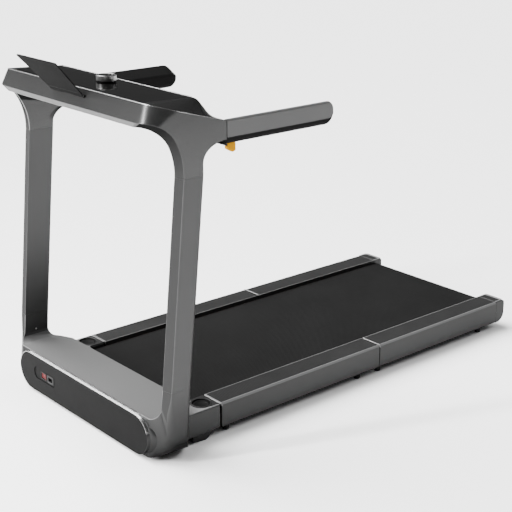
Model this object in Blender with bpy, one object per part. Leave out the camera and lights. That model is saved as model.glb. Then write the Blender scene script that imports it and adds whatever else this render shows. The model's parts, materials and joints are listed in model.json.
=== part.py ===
"""Folding motorised treadmill: ring frame, console, two-part deck and folding handrails.

Metres, +Z up, floor at Z = 0.  The console is at -Y, the walking belt runs towards +Y and the
object is symmetric about X = 0 apart from its drive and its controls.  "left" is the walker's
left, at +X.  The frame's origin is the middle of the bounding box's base.
"""

import math

import bmesh
import bpy
from mathutils import Vector

# ---------------------------------------------------------------- driving dimensions
GAP = 0.0003            # running gap between pieces that touch
FRONT_LENGTH = 0.243    # from the front panel to the first fold line
DECK_LENGTH = 1.186     # from the first fold line to the rear end
HALF_DECK = 0.603       # from the first fold line to the second

REST_AXIS = (-0.2330, 0.9075)           # hinge of the tablet rest, from the first fold line
REST_LENGTH = 0.1235
REST_THICK = 0.0035
REST_UP = (-0.67805, 0.73502)           # the way the rest's plate points
OVERHANG = REST_LENGTH * -REST_UP[0] + REST_THICK / 2 * REST_UP[1] - REST_AXIS[0] - FRONT_LENGTH

LENGTH = OVERHANG + FRONT_LENGTH + DECK_LENGTH
FOLD_1 = OVERHANG + FRONT_LENGTH - LENGTH / 2

RING_OUT = 0.367        # half width over the uprights
RING_IN = 0.335         # half width between the uprights
HOOD_TOP = 0.122
RING_BOTTOM = 0.008
LEAN = 0.0956           # rearward lean of the uprights, metres per metre
COLUMN_DEPTH = 0.077
SPLIT_LOW = 0.20        # the uprights stand between these two heights
SPLIT_HIGH = 0.74

DECK_OUT = 0.313        # half width over the side rails
BELT_HALF = 0.2335
RAIL_IN = 0.2385
RAIL_TOP = 0.091
RAIL_BOTTOM = 0.020
SEAM = 0.0016           # half the width of a fold seam
FOLD_Z = 0.0920         # height of both fold axes, just above the rails
BELT_THICK = 0.002
BELT_TOP = 0.0795
ROLLER_R = 0.0225
ROLLER_Z = BELT_TOP - BELT_THICK - GAP - ROLLER_R
FRONT_ROLLER_Y = -0.128
REAR_ROLLER_Y = 1.150

GLASS_SLOPE = 0.04      # fall of the console's glass towards the walker
FASCIA_TOP = (-0.219, 0.9227)
FASCIA_BOTTOM = (-0.241, 0.880)
GLASS_REAR_Y = -0.062

RAIL_END_Y = -0.013     # seam between console arm and handrail
HANDRAIL_IN = 0.3165
HANDRAIL_OUT = 0.3605
HANDRAIL_LOW = 0.803
HANDRAIL_HIGH = 0.865
HANDRAIL_END = 0.348
ARM_AXIS = (-0.0128, 0.8025)

KNOB_Y = -0.115

SIDES = (("left", 1), ("right", -1))


def place(y):
    """Y in the part's frame of a point given from the first fold line."""
    return FOLD_1 + y


# ---------------------------------------------------------------- materials
FINISHES = {
    "body_grey": ((0.13, 0.13, 0.135), 0.38, 0.4),
    "upright_grey": ((0.13, 0.13, 0.135), 0.38, 0.7),
    "rail_grey": ((0.11, 0.11, 0.115), 0.42, 0.5),
    "panel_dark": ((0.045, 0.045, 0.048), 0.55, 0.1),
    "bright_trim": ((0.62, 0.62, 0.63), 0.3, 0.9),
    "black_glass": ((0.01, 0.01, 0.012), 0.06, 0.0),
    "black_plastic": ((0.018, 0.018, 0.02), 0.5, 0.0),
    "grip_black": ((0.03, 0.03, 0.031), 0.55, 0.0),
    "knob_metal": ((0.8, 0.8, 0.82), 0.12, 1.0),
    "steel": ((0.5, 0.5, 0.51), 0.35, 1.0),
    "rubber": ((0.02, 0.02, 0.02), 0.85, 0.0),
    "belt": ((0.03, 0.03, 0.031), 0.8, 0.0),
    "board": ((0.25, 0.17, 0.1), 0.7, 0.0),
    "circuit": ((0.02, 0.16, 0.07), 0.5, 0.0),
    "yellow": ((0.72, 0.33, 0.03), 0.4, 0.0),
    "red": ((0.5, 0.02, 0.02), 0.35, 0.0),
}
MATERIALS = {}


def material(slot):
    """The Principled material of a finish, made the first time it is asked for."""
    if slot not in MATERIALS:
        colour, roughness, metallic = FINISHES[slot]
        made = bpy.data.materials.new(slot)
        made.use_nodes = True
        shader = made.node_tree.nodes["Principled BSDF"]
        shader.inputs["Base Color"].default_value = (*colour, 1.0)
        shader.inputs["Roughness"].default_value = roughness
        shader.inputs["Metallic"].default_value = metallic
        made.diffuse_color = (*colour, 1.0)
        MATERIALS[slot] = made
    return MATERIALS[slot]


# ---------------------------------------------------------------- modelling helpers
def new_object(name, vertices, faces, slot, smooth=False):
    """One object from vertices and faces, with its normals turned outwards."""
    mesh = bpy.data.meshes.new(name)
    work = bmesh.new()
    corners = [work.verts.new(v) for v in vertices]
    for face in faces:
        work.faces.new([corners[i] for i in face])
    bmesh.ops.recalc_face_normals(work, faces=work.faces)
    work.to_mesh(mesh)
    work.free()
    if smooth:
        mesh.shade_smooth()
        mesh.set_sharp_from_angle(angle=math.radians(35))
    mesh.materials.append(material(slot))
    thing = bpy.data.objects.new(name, mesh)
    bpy.context.scene.collection.objects.link(thing)
    return thing


def box(name, x, y, z, slot):
    """A box between two limits on each axis."""
    corners = [(i, j, k) for i in x for j in y for k in z]
    faces = [(0, 1, 3, 2), (4, 6, 7, 5), (0, 4, 5, 1), (2, 3, 7, 6), (0, 2, 6, 4), (1, 5, 7, 3)]
    return new_object(name, corners, faces, slot)


def prism(name, outline, start, end, axis, slot):
    """A flat outline pushed along an axis.  The outline's two numbers are the other two axes."""
    count = len(outline)

    def corner(pair, along):
        values = list(pair)
        values.insert("XYZ".index(axis), along)
        return tuple(values)

    vertices = [corner(p, start) for p in outline] + [corner(p, end) for p in outline]
    faces = [tuple(range(count)), tuple(range(2 * count - 1, count - 1, -1))]
    for i in range(count):
        j = (i + 1) % count
        faces.append((i, j, count + j, count + i))
    return new_object(name, vertices, faces, slot)


def rod(name, start, end, radius, slot, segments=24):
    """A round bar between two points."""
    start, end = Vector(start), Vector(end)
    turn = Vector((0, 0, 1)).rotation_difference(end - start)
    vertices = []
    for centre in (start, end):
        for i in range(segments):
            angle = 2 * math.pi * i / segments
            spoke = turn @ Vector((radius * math.cos(angle), radius * math.sin(angle), 0))
            vertices.append(centre + spoke)
    faces = [tuple(range(segments)), tuple(range(2 * segments - 1, segments - 1, -1))]
    for i in range(segments):
        j = (i + 1) % segments
        faces.append((i, j, segments + j, segments + i))
    return new_object(name, vertices, faces, slot, smooth=True)


def turned(name, profile, origin, axis, slot, segments=28):
    """A closed profile of (radius, height) pairs spun about an axis through the origin."""
    turn = Vector((0, 0, 1)).rotation_difference(Vector(axis))
    count = len(profile)
    vertices = []
    for i in range(segments):
        angle = 2 * math.pi * i / segments
        for radius, height in profile:
            point = Vector((radius * math.cos(angle), radius * math.sin(angle), height))
            vertices.append(Vector(origin) + turn @ point)
    faces = []
    for i in range(segments):
        j = (i + 1) % segments
        for k in range(count):
            m = (k + 1) % count
            faces.append((i * count + k, j * count + k, j * count + m, i * count + m))
    return new_object(name, vertices, faces, slot, smooth=True)


def arc(centre, radius, start, end, steps):
    """Points on an arc, angles in degrees."""
    points = []
    for i in range(steps + 1):
        angle = math.radians(start + (end - start) * i / steps)
        points.append((centre[0] + radius * math.cos(angle), centre[1] + radius * math.sin(angle)))
    return points


def cut(target, cutter, operation="DIFFERENCE"):
    """Boolean a hidden guide out of, or into, a piece."""
    modifier = target.modifiers.new("cut", "BOOLEAN")
    modifier.operation = operation
    modifier.object = cutter
    cutter.hide_render = True
    cutter.display_type = "WIRE"


def set_origin(thing, point):
    """Move an object's origin to its joint axis without moving its shape."""
    shift = Vector(point)
    for vertex in thing.data.vertices:
        vertex.co -= shift
    thing.location = shift


def mix(a, b, t):
    """Straight blend of two numbers."""
    return a + (b - a) * t


def along(points, x):
    """Second number read off a polyline of (x, value) pairs."""
    for (x0, v0), (x1, v1) in zip(points, points[1:]):
        if x <= x1:
            return mix(v0, v1, max(0.0, (x - x0) / (x1 - x0)))
    return points[-1][1]


# ---------------------------------------------------------------- ring frame
# The ring's right-hand half is followed from the middle of the base, up the upright and along
# the console to its middle.  Each station holds the five edges of the section: the inner front
# edge, the outer front edge, the far edge of the outer skin, the inner rear edge and a line on
# the inner skin just in front of it.
INNER_CORNER = 0.038
OUTER_CORNER = 0.065
HOOD_FRONT_Y = -0.234
HOOD_REAR_Y = -0.095
HOOD_REAR_X = 0.262     # the hood's rear edge is straight out to here
REAR_PLAN = [(HOOD_REAR_X, HOOD_REAR_Y), (0.300, -0.112), (0.322, -0.127), (RING_IN, -0.134)]
FLARE_Z = 0.745
HEAD_CORNER = 0.035     # plan radius of the console's front corners
WINDOW_CORNER = 0.045
WINDOW_TOP = 0.866


def column_front(z):
    """Y of the upright's inner front edge at a height."""
    return -0.221 + LEAN * (z - 0.052)


def column_station(z):
    """Section of the upright at a height."""
    front = column_front(z)
    return [
        (RING_IN, front, z),
        (RING_OUT, front + 0.0065, z),
        (RING_OUT, front + 0.0585, z),
        (RING_IN, front + COLUMN_DEPTH, z),
        (RING_IN, front + COLUMN_DEPTH - 0.015, z),
    ]


def base_station(x, outer_x, rear_x):
    """Section of the straight part of the base."""
    return [
        (x, HOOD_FRONT_Y, HOOD_TOP),
        (outer_x, HOOD_FRONT_Y, RING_BOTTOM),
        (rear_x, HOOD_REAR_Y, RING_BOTTOM),
        (rear_x, HOOD_REAR_Y, HOOD_TOP),
        (mix(rear_x, x, 0.3), HOOD_REAR_Y - 0.015, HOOD_TOP),
    ]


def inner_arc(t):
    """X and Z of the inner corner between the hood and the upright."""
    angle = math.pi / 2 * t
    centre_x = RING_IN - INNER_CORNER
    return (centre_x + INNER_CORNER * math.sin(angle),
            HOOD_TOP + INNER_CORNER * (1 - math.cos(angle)))


def outer_arc(t):
    """X and Z of the outer bottom corner."""
    angle = math.pi / 2 * t
    centre_x = RING_OUT - OUTER_CORNER
    return (centre_x + OUTER_CORNER * math.sin(angle),
            RING_BOTTOM + OUTER_CORNER * (1 - math.cos(angle)))


def base_corner(t):
    """Section in the corner between the base and the upright, t from 0 to 1."""
    in_x, in_z = inner_arc(t)
    out_x, out_z = outer_arc(t)
    if t < 0.3:
        skin_x, skin_z = mix(HOOD_REAR_X, RING_OUT - OUTER_CORNER, t / 0.3), RING_BOTTOM
        skin_y = along(REAR_PLAN, skin_x)
    else:
        skin_x, skin_z = outer_arc((t - 0.3) / 0.7)
        skin_y = mix(-0.114, column_front(skin_z) + 0.0585, (t - 0.3) / 0.7)
    if t < 0.4:
        rear_x, rear_z = mix(HOOD_REAR_X, RING_IN - INNER_CORNER, t / 0.4), HOOD_TOP
    else:
        rear_x, rear_z = inner_arc((t - 0.4) / 0.6)
    inner_end = column_front(HOOD_TOP + INNER_CORNER)
    outer_end = column_front(RING_BOTTOM + OUTER_CORNER) + 0.0065
    return [
        (in_x, mix(HOOD_FRONT_Y, inner_end, t), in_z),
        (out_x, mix(HOOD_FRONT_Y, outer_end, t), out_z),
        (skin_x, skin_y, skin_z),
        (rear_x, along(REAR_PLAN, rear_x), rear_z),
        (in_x, along(REAR_PLAN, in_x) - 0.015, in_z),
    ]


def window_x(z):
    """X of the window's edge near its upper corner."""
    centre_z = WINDOW_TOP - WINDOW_CORNER
    if z <= centre_z:
        return RING_IN
    rise = min(z - centre_z, WINDOW_CORNER)
    return RING_IN - WINDOW_CORNER + math.sqrt(WINDOW_CORNER ** 2 - rise ** 2)


def inner_flare(degrees):
    """Inner front edge where the upright sweeps forward into the console."""
    angle = math.radians(degrees)
    start = column_front(FLARE_Z)
    y = start - (0.237 + start) * (1 - math.cos(angle))
    z = FLARE_Z + (WINDOW_TOP - FLARE_Z) * math.sin(angle)
    return (window_x(z), y, z)


def outer_flare(degrees):
    """Outer front edge on the same sweep, rounded in plan at the console's corner."""
    angle = math.radians(degrees)
    start = column_front(FLARE_Z) + 0.0065
    y = start - (start - FASCIA_BOTTOM[0]) * (1 - math.cos(angle))
    z = FLARE_Z + (FASCIA_BOTTOM[1] - FLARE_Z) * math.sin(angle)
    centre_y = FASCIA_BOTTOM[0] + HEAD_CORNER
    reach = min(max(centre_y - y, 0.0), HEAD_CORNER)
    x = RING_OUT - HEAD_CORNER + math.sqrt(HEAD_CORNER ** 2 - reach ** 2)
    return (x, y, z)


def glass_z(y):
    """Height of the console's top plane."""
    return FASCIA_TOP[1] - GLASS_SLOPE * (y - FASCIA_TOP[0])


def head_stations():
    """Sections from the top of the upright to the middle of the console."""
    stations = []
    side_slope = 0.2905
    arm_top = FASCIA_TOP[1] - side_slope * (RAIL_END_Y - FASCIA_TOP[0])
    arm_x = HANDRAIL_OUT
    for i in range(1, 6):                       # rear fillet below the arm
        t = i / 5
        angle = math.pi / 2 * t
        skin = (mix(RING_OUT, arm_x, t), -0.096 + 0.083 * (1 - math.cos(angle)),
                0.760 + 0.056 * math.sin(angle))
        rear = (mix(RING_IN, HANDRAIL_IN, t), -0.0778 + 0.0648 * (1 - math.cos(angle)),
                0.755 + (HANDRAIL_LOW - 0.755) * math.sin(angle))
        under = (rear[0], rear[1] - mix(0.015, 0.021, t), rear[2])
        stations.append([inner_flare(35 * t), outer_flare(35 * t), skin, rear, under])
    stations.append([inner_flare(45), outer_flare(45), (arm_x, RAIL_END_Y, arm_top),
                     (HANDRAIL_IN, RAIL_END_Y, arm_top),
                     (HANDRAIL_IN - 0.0005, -0.030, HANDRAIL_LOW + 0.004)])
    corner_y = FASCIA_TOP[0] + HEAD_CORNER
    for i in range(1, 5):                       # side edge rising to the front corner
        t = i / 4
        y = mix(RAIL_END_Y, corner_y, t)
        skin = (mix(arm_x, RING_OUT, min(1.0, 2 * t)), y,
                FASCIA_TOP[1] - side_slope * (y - FASCIA_TOP[0]))
        rear_y = mix(RAIL_END_Y, GLASS_REAR_Y - 0.004, t)
        rear = (mix(HANDRAIL_IN, 0.297, t), rear_y, mix(arm_top, glass_z(rear_y), t ** 1.3))
        under = (mix(HANDRAIL_IN, 0.292, t), mix(-0.030, -0.068, t), mix(HANDRAIL_LOW, 0.864, t))
        stations.append([inner_flare(mix(45, 65, t)), outer_flare(mix(45, 67.8, t)),
                         skin, rear, under])
    for i in range(1, 5):                       # front corner, round in plan
        t = i / 4
        angle = math.pi / 2 * t
        skin = (RING_OUT - HEAD_CORNER * (1 - math.cos(angle)),
                corner_y - HEAD_CORNER * math.sin(angle), mix(0.9125, FASCIA_TOP[1], t))
        rear_y = mix(GLASS_REAR_Y - 0.004, GLASS_REAR_Y, t)
        rear = (mix(0.297, 0.285, t), rear_y, glass_z(rear_y))
        stations.append([inner_flare(mix(65, 90, t)), outer_flare(mix(67.8, 90, t)), skin, rear,
                         (mix(0.292, 0.285, t), -0.067, 0.864)])
    stations.append([(0.0, p[1], p[2]) for p in stations[-1]])
    return stations


def rounded_section(station, roundness):
    """Closed outline of a station, with the rear outer edge rounded by the given amount."""
    inner_front, outer_front, skin, rear, under = [Vector(p) for p in station]
    corner = Vector((skin.x, rear.y, (skin.z + rear.z) / 2))
    middle = (skin + rear) / 2
    bulge = middle + (corner - middle) * 0.41 * roundness
    return [inner_front, outer_front, skin, bulge, rear, under]


def loft(name, sections, slot):
    """Closed solid through a row of outlines with equal numbers of points."""
    count = len(sections[0])
    vertices = [point for section in sections for point in section]
    faces = [tuple(range(count)),
             tuple(range(len(vertices) - 1, len(vertices) - count - 1, -1))]
    for row in range(len(sections) - 1):
        for i in range(count):
            j = (i + 1) % count
            a, b = row * count + i, row * count + j
            c, d = b + count, a + count
            faces.append((a, b, c))
            faces.append((a, c, d))
    thing = new_object(name, [(p[0], place(p[1]), p[2]) for p in vertices], faces, slot, True)
    return thing


def both_halves(stations, roundness):
    """Sections across the whole ring: the mirrored half first, then the modelled half."""
    half = [rounded_section(s, r) for s, r in zip(stations, roundness)]
    mirrored = [[Vector((-p.x, p.y, p.z)) for p in section] for section in half]
    return mirrored[::-1] + half[1:]


def make_base_housing():
    """Motor hood: the bottom of the ring, hollow, open below, at the front and for the belt."""
    corner_steps = 8
    stations = [base_station(0.0, 0.0, 0.0),
                base_station(RING_IN - INNER_CORNER, RING_OUT - OUTER_CORNER, HOOD_REAR_X)]
    roundness = [0.0, 0.0]
    for i in range(1, corner_steps + 1):
        stations.append(base_corner(i / corner_steps))
        roundness.append(max(0.0, 2 * i / corner_steps - 1))
    stations.append(column_station(SPLIT_LOW))
    roundness.append(1.0)
    housing = loft("base_housing", both_halves(stations, roundness), "body_grey")
    cut(housing, box("hood_room", (-0.290, 0.290), (place(-0.229), place(-0.137)),
                     (0.0, 0.1175), "body_grey"))
    cut(housing, box("roller_room", (-0.2755, 0.2755), (place(-0.1372), place(-0.1035)),
                     (0.0, 0.0865), "body_grey"))
    cut(housing, box("belt_exit", (-0.2450, 0.2450), (place(-0.1100), place(-0.080)),
                     (0.0, 0.0865), "body_grey"))
    cut(housing, rod("axle_seats", (-0.2865, place(FRONT_ROLLER_Y), ROLLER_Z),
                     (0.2865, place(FRONT_ROLLER_Y), ROLLER_Z), 0.0082, "body_grey", 20))
    cut(housing, box("service_window", (-0.270, 0.270), (place(-0.245), place(-0.220)),
                     (0.030, 0.096), "body_grey"))
    return housing


def make_uprights():
    """The two straight columns of the ring, open tubes with the base and console at their ends."""
    wall, front_wall, rear_wall = 0.003, 0.0105, 0.0215
    for side, sign in SIDES:
        low = rounded_section(column_station(SPLIT_LOW + GAP), 1.0)
        high = rounded_section(column_station(SPLIT_HIGH - GAP), 1.0)
        sections = [[Vector((sign * p.x, p.y, p.z)) for p in part] for part in (low, high)]
        upright = loft("upright_" + side, sections, "upright_grey")
        bore = []
        for z in (SPLIT_LOW - 0.01, SPLIT_HIGH + 0.01):
            front = column_front(z) + front_wall
            rear = column_front(z) + COLUMN_DEPTH - rear_wall
            bore.append([Vector((sign * x, y, z)) for x, y in (
                (RING_IN + wall, front), (RING_OUT - wall, front),
                (RING_OUT - wall, rear), (RING_IN + wall, rear))])
        cut(upright, loft("upright_bore_" + side, bore, "upright_grey"))


def make_console_body():
    """Top of the ring: console case with the two arms that carry the handrails."""
    stations = [column_station(SPLIT_HIGH)] + head_stations()
    roundness = [1.0] + [0.8, 0.6, 0.4, 0.2, 0.0] + [0.0] * (len(stations) - 6)
    half = [rounded_section(s, r) for s, r in zip(stations, roundness)]
    mirrored = [[Vector((-p.x, p.y, p.z)) for p in section] for section in half]
    body = loft("console_body", half + mirrored[::-1][1:], "body_grey")
    cut(body, box("console_room", (-0.278, 0.278), (place(-0.205), place(-0.078)),
                  (0.871, 0.95), "body_grey"))
    front, rear = -0.2135, -0.0675
    slot = [(place(front), glass_z(front) - 0.0030), (place(rear), glass_z(rear) - 0.0030),
            (place(rear), 0.95), (place(front), 0.95)]
    cut(body, prism("glass_seat", slot, -0.2963, 0.2963, "X", "body_grey"))
    for side, sign in SIDES:
        cut(body, rod("arm_notch_" + side, (sign * 0.3185, place(ARM_AXIS[0]), ARM_AXIS[1]),
                      (sign * 0.3595, place(ARM_AXIS[0]), ARM_AXIS[1]), 0.0036, "body_grey", 16))
    return body


# ---------------------------------------------------------------- front panel and base fittings
PANEL_HALF = 0.315
PANEL_RADIUS = 0.055
PANEL_Z = 0.0635
SWITCH_X = -0.188
INLET_X = -0.153
SOCKET_Z = 0.067
SOCKET_HALF = 0.0140
SOCKET_RISE = 0.0094


def stadium(half, radius, centre_z, steps=10):
    """Outline with two round ends, in X and Z."""
    right = arc((half - radius, centre_z), radius, -90, 90, steps)
    left = arc((radius - half, centre_z), radius, 90, 270, steps)
    return right + left


def make_front_panel():
    """Dark panel with a bright chamfered bezel around it, its switch and its power inlet."""
    face_y = place(-FRONT_LENGTH)
    back_y = place(HOOD_FRONT_Y) - GAP
    chamfer, lip = 0.009, 0.001
    bezel_radius = PANEL_RADIUS - 0.0005
    bezel_back = stadium(PANEL_HALF + chamfer, bezel_radius, PANEL_Z)
    bezel_front = stadium(PANEL_HALF + lip, bezel_radius, PANEL_Z)
    count = len(bezel_back)
    vertices = [(x, back_y, z) for x, z in bezel_back] + [(x, face_y, z) for x, z in bezel_front]
    faces = [tuple(range(count)), tuple(range(2 * count - 1, count - 1, -1))]
    for i in range(count):
        j = (i + 1) % count
        faces.append((i, j, count + j))
        faces.append((i, count + j, count + i))
    bezel = new_object("front_bezel", vertices, faces, "bright_trim")
    rim = 0.0025
    hole = stadium(PANEL_HALF + lip - rim, bezel_radius - rim, PANEL_Z)
    cut(bezel, prism("bezel_hole", hole, face_y - 0.01, back_y + 0.01, "Y", "panel_dark"))
    inner = stadium(PANEL_HALF + lip - rim - GAP, bezel_radius - rim - GAP, PANEL_Z)
    panel = prism("front_panel", inner, face_y + 0.0005, back_y, "Y", "panel_dark")
    for name, x in (("switch_hole", SWITCH_X), ("inlet_hole", INLET_X)):
        cut(panel, box(name, (x - SOCKET_HALF - GAP, x + SOCKET_HALF + GAP),
                       (face_y - 0.01, back_y + 0.01),
                       (SOCKET_Z - SOCKET_RISE - GAP, SOCKET_Z + SOCKET_RISE + GAP), "panel_dark"))
    wall = 0.003
    inlet = box("power_inlet", (INLET_X - SOCKET_HALF, INLET_X + SOCKET_HALF),
                (face_y + 0.001, face_y + 0.034), (SOCKET_Z - SOCKET_RISE, SOCKET_Z + SOCKET_RISE),
                "black_plastic")
    cut(inlet, box("inlet_mouth", (INLET_X - SOCKET_HALF + wall, INLET_X + SOCKET_HALF - wall),
                   (face_y - 0.01, face_y + 0.018),
                   (SOCKET_Z - SOCKET_RISE + wall, SOCKET_Z + SOCKET_RISE - wall),
                   "black_plastic"))
    make_power_switch(face_y)


def make_power_switch(face_y):
    """Rocker of the power switch, held tilted to one side; it tips about an upright pin."""
    half, tilt = 0.0125, math.radians(6)
    shape = [(-half, 0.0015), (-half, -0.0055), (0.0, -0.0038), (half, -0.0055), (half, 0.0015),
             (0.0, 0.0045)]
    pivot = (SWITCH_X, face_y + 0.007)
    outline = [(pivot[0] + x * math.cos(tilt) + y * math.sin(tilt),
                pivot[1] - x * math.sin(tilt) + y * math.cos(tilt)) for x, y in shape]
    rocker = prism("power_switch", outline, SOCKET_Z - 0.0080, SOCKET_Z + 0.0080, "Z", "red")
    set_origin(rocker, (*pivot, SOCKET_Z))


PULLEY_X = (0.253, 0.271)
PULLEY_R = 0.0205
MOTOR_Y, MOTOR_Z, MOTOR_R = -0.186, 0.064, 0.0295
MOTOR_PULLEY_R = 0.0155


def make_base_inside():
    """Bottom pan, motor, drive and front roller under the hood."""
    pan = box("bottom_pan", (-0.2895, 0.2895), (place(-0.2285), place(-0.1375)), (0.0085, 0.0115),
              "black_plastic")
    cut(pan, box("motor_cradle", (0.095, 0.215), (place(MOTOR_Y - 0.022), place(MOTOR_Y + 0.022)),
                 (0.0100, MOTOR_Z - MOTOR_R - GAP), "steel"), "UNION")
    for side, sign in SIDES:
        cut(pan, rod("front_foot_" + side, (sign * 0.240, place(-0.210), 0.0),
                     (sign * 0.240, place(-0.210), 0.0100), 0.0120, "rubber", 20), "UNION")
    rod("motor", (0.075, place(MOTOR_Y), MOTOR_Z), (0.232, place(MOTOR_Y), MOTOR_Z), MOTOR_R,
        "steel", 32)
    pulley_start = (0.2325, place(MOTOR_Y), MOTOR_Z)
    motor_pulley = rod("motor_pulley", pulley_start, (PULLEY_X[1], place(MOTOR_Y), MOTOR_Z),
                       MOTOR_PULLEY_R, "steel", 24)
    set_origin(motor_pulley, pulley_start)
    make_drive_belt((MOTOR_Y, MOTOR_Z, MOTOR_PULLEY_R), (FRONT_ROLLER_Y, ROLLER_Z, PULLEY_R))
    board = box("motor_controller", (-0.225, -0.060), (place(-0.222), place(-0.158)),
                (0.0160, 0.0180), "circuit")
    sink = box("sink_block", (-0.200, -0.090), (place(-0.215), place(-0.175)), (0.0175, 0.045),
               "circuit")
    cut(board, sink, "UNION")


def make_drive_belt(small, large):
    """Flat loop around the motor pulley and the roller pulley."""
    thick = 0.002

    def loop(extra):
        (ya, za, ra), (yb, zb, rb) = small, large
        span = math.hypot(yb - ya, zb - za)
        direction = math.degrees(math.atan2(zb - za, yb - ya))
        lean = math.degrees(math.acos((ra - rb) / span))
        first = arc((place(ya), za), ra + extra, direction + lean, direction + 360 - lean, 12)
        second = arc((place(yb), zb), rb + extra, direction - lean, direction + lean, 12)
        return first + second

    outer, inner = loop(GAP + thick), loop(GAP)
    count = len(outer)
    x0, x1 = PULLEY_X[0] + 0.002, PULLEY_X[1] - 0.002
    vertices = []
    for x, ring in ((x0, outer), (x1, outer), (x1, inner), (x0, inner)):
        vertices += [(x, y, z) for y, z in ring]
    faces = []
    for band in range(4):
        following = (band + 1) % 4
        for i in range(count):
            j = (i + 1) % count
            faces.append((band * count + i, band * count + j, following * count + j,
                          following * count + i))
    new_object("drive_belt", vertices, faces, "rubber")


# ---------------------------------------------------------------- rear knuckles of the base
STUB_PLAN = [(RAIL_IN, -0.0944), (0.2625, -0.0944), (0.3004, -0.1090), (DECK_OUT, -0.1130),
             (DECK_OUT, -0.0045), (RAIL_IN, -0.0045)]
PEDAL_CENTRE = (0.2745, -0.038)
PEDAL_R = 0.0235


def make_knuckles():
    """Fixed stubs between the hood and the first fold, with cap, pedal, bracket and wheel."""
    for side, sign in SIDES:
        plan = [(sign * x, place(y)) for x, y in STUB_PLAN]
        stub = prism("knuckle_" + side, plan, 0.0225, RAIL_TOP - 0.003, "Z", "body_grey")
        centre = (sign * PEDAL_CENTRE[0], place(PEDAL_CENTRE[1]))
        cut(stub, rod("pedal_well_" + side, (*centre, 0.070), (*centre, 0.12),
                      PEDAL_R + 0.004, "body_grey", 32))
        make_knuckle_cap(side, sign, centre)
        make_pedal(side, sign, centre)
        make_wheel(side, sign)
        pin_x = (RAIL_IN + 0.004, DECK_OUT - 0.003)
        rod("front_fold_pin_" + side, (sign * pin_x[0], place(-0.0015), FOLD_Z - 0.0015),
            (sign * pin_x[1], place(-0.0015), FOLD_Z - 0.0015), 0.0012, "bright_trim", 12)


def make_knuckle_cap(side, sign, centre):
    """Black top plate of the knuckle with a round opening for the pedal."""
    outline = [(0.2390, -0.0048), (0.2390, -0.0700), (0.2480, -0.0760), (0.2700, -0.0780),
               (0.2900, -0.0720), (0.3040, -0.0560), (0.3100, -0.0380), (0.3115, -0.0048)]
    cap = prism("knuckle_cap_" + side, [(sign * x, place(y)) for x, y in outline],
                RAIL_TOP - 0.0027, RAIL_TOP, "Z", "black_plastic")
    cut(cap, rod("cap_hole_" + side, (*centre, 0.070), (*centre, 0.12), PEDAL_R + 0.002,
                 "black_plastic", 32))


def make_pedal(side, sign, centre):
    """Round foot button that frees the deck fold."""
    profile = [(0.0, 0.0765), (PEDAL_R, 0.0765), (PEDAL_R, 0.0870), (PEDAL_R - 0.003, 0.0885),
               (PEDAL_R - 0.009, 0.0872), (0.0, 0.0866)]
    points = 32
    vertices = []
    faces = []
    rings = profile[1:-1]
    for radius, height in rings:
        vertices += [(centre[0] + radius * math.cos(2 * math.pi * i / points),
                      centre[1] + radius * math.sin(2 * math.pi * i / points), height)
                     for i in range(points)]
    bottom, top = len(vertices), len(vertices) + 1
    vertices += [(*centre, profile[0][1]), (*centre, profile[-1][1])]
    for i in range(points):
        j = (i + 1) % points
        faces.append((bottom, i, j))
        last = (len(rings) - 1) * points
        faces.append((top, last + i, last + j))
        for ring in range(len(rings) - 1):
            a, b = ring * points, (ring + 1) * points
            faces.append((a + i, a + j, b + j, b + i))
    pedal = new_object("fold_pedal_" + side, vertices, faces, "rubber", True)
    set_origin(pedal, (*centre, 0.0765))


WHEEL_Y = -0.078
WHEEL_R = 0.0102


def make_wheel(side, sign):
    """Transport wheel in its bracket below the knuckle."""
    outline = [(place(-0.0935), 0.0222), (place(-0.0935), 0.0045), (place(-0.0520), 0.0),
               (place(-0.0430), 0.0035), (place(-0.0280), 0.0190), (place(-0.0280), 0.0222)]
    bracket = prism("wheel_bracket_" + side, outline, sign * 0.256, sign * 0.309, "X",
                    "black_plastic")
    cut(bracket, box("wheel_room_" + side, (sign * 0.2700, sign * 0.2960)[::sign],
                     (place(WHEEL_Y - 0.0140), place(WHEEL_Y + 0.0140)), (-0.01, 0.0212),
                     "black_plastic"))
    cut(bracket, rod("wheel_axle_" + side, (sign * 0.265, place(WHEEL_Y), WHEEL_R),
                     (sign * 0.301, place(WHEEL_Y), WHEEL_R), 0.0021, "steel", 12), "UNION")
    wheel = turned("transport_wheel_" + side, [(0.0026, -0.011), (WHEEL_R - 0.0013, -0.011),
                                               (WHEEL_R, -0.008), (WHEEL_R, 0.008),
                                               (WHEEL_R - 0.0013, 0.011), (0.0026, 0.011)],
                   (sign * 0.283, place(WHEEL_Y), WHEEL_R), (1, 0, 0), "rubber", 28)
    set_origin(wheel, (sign * 0.283, place(WHEEL_Y), WHEEL_R))


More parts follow.
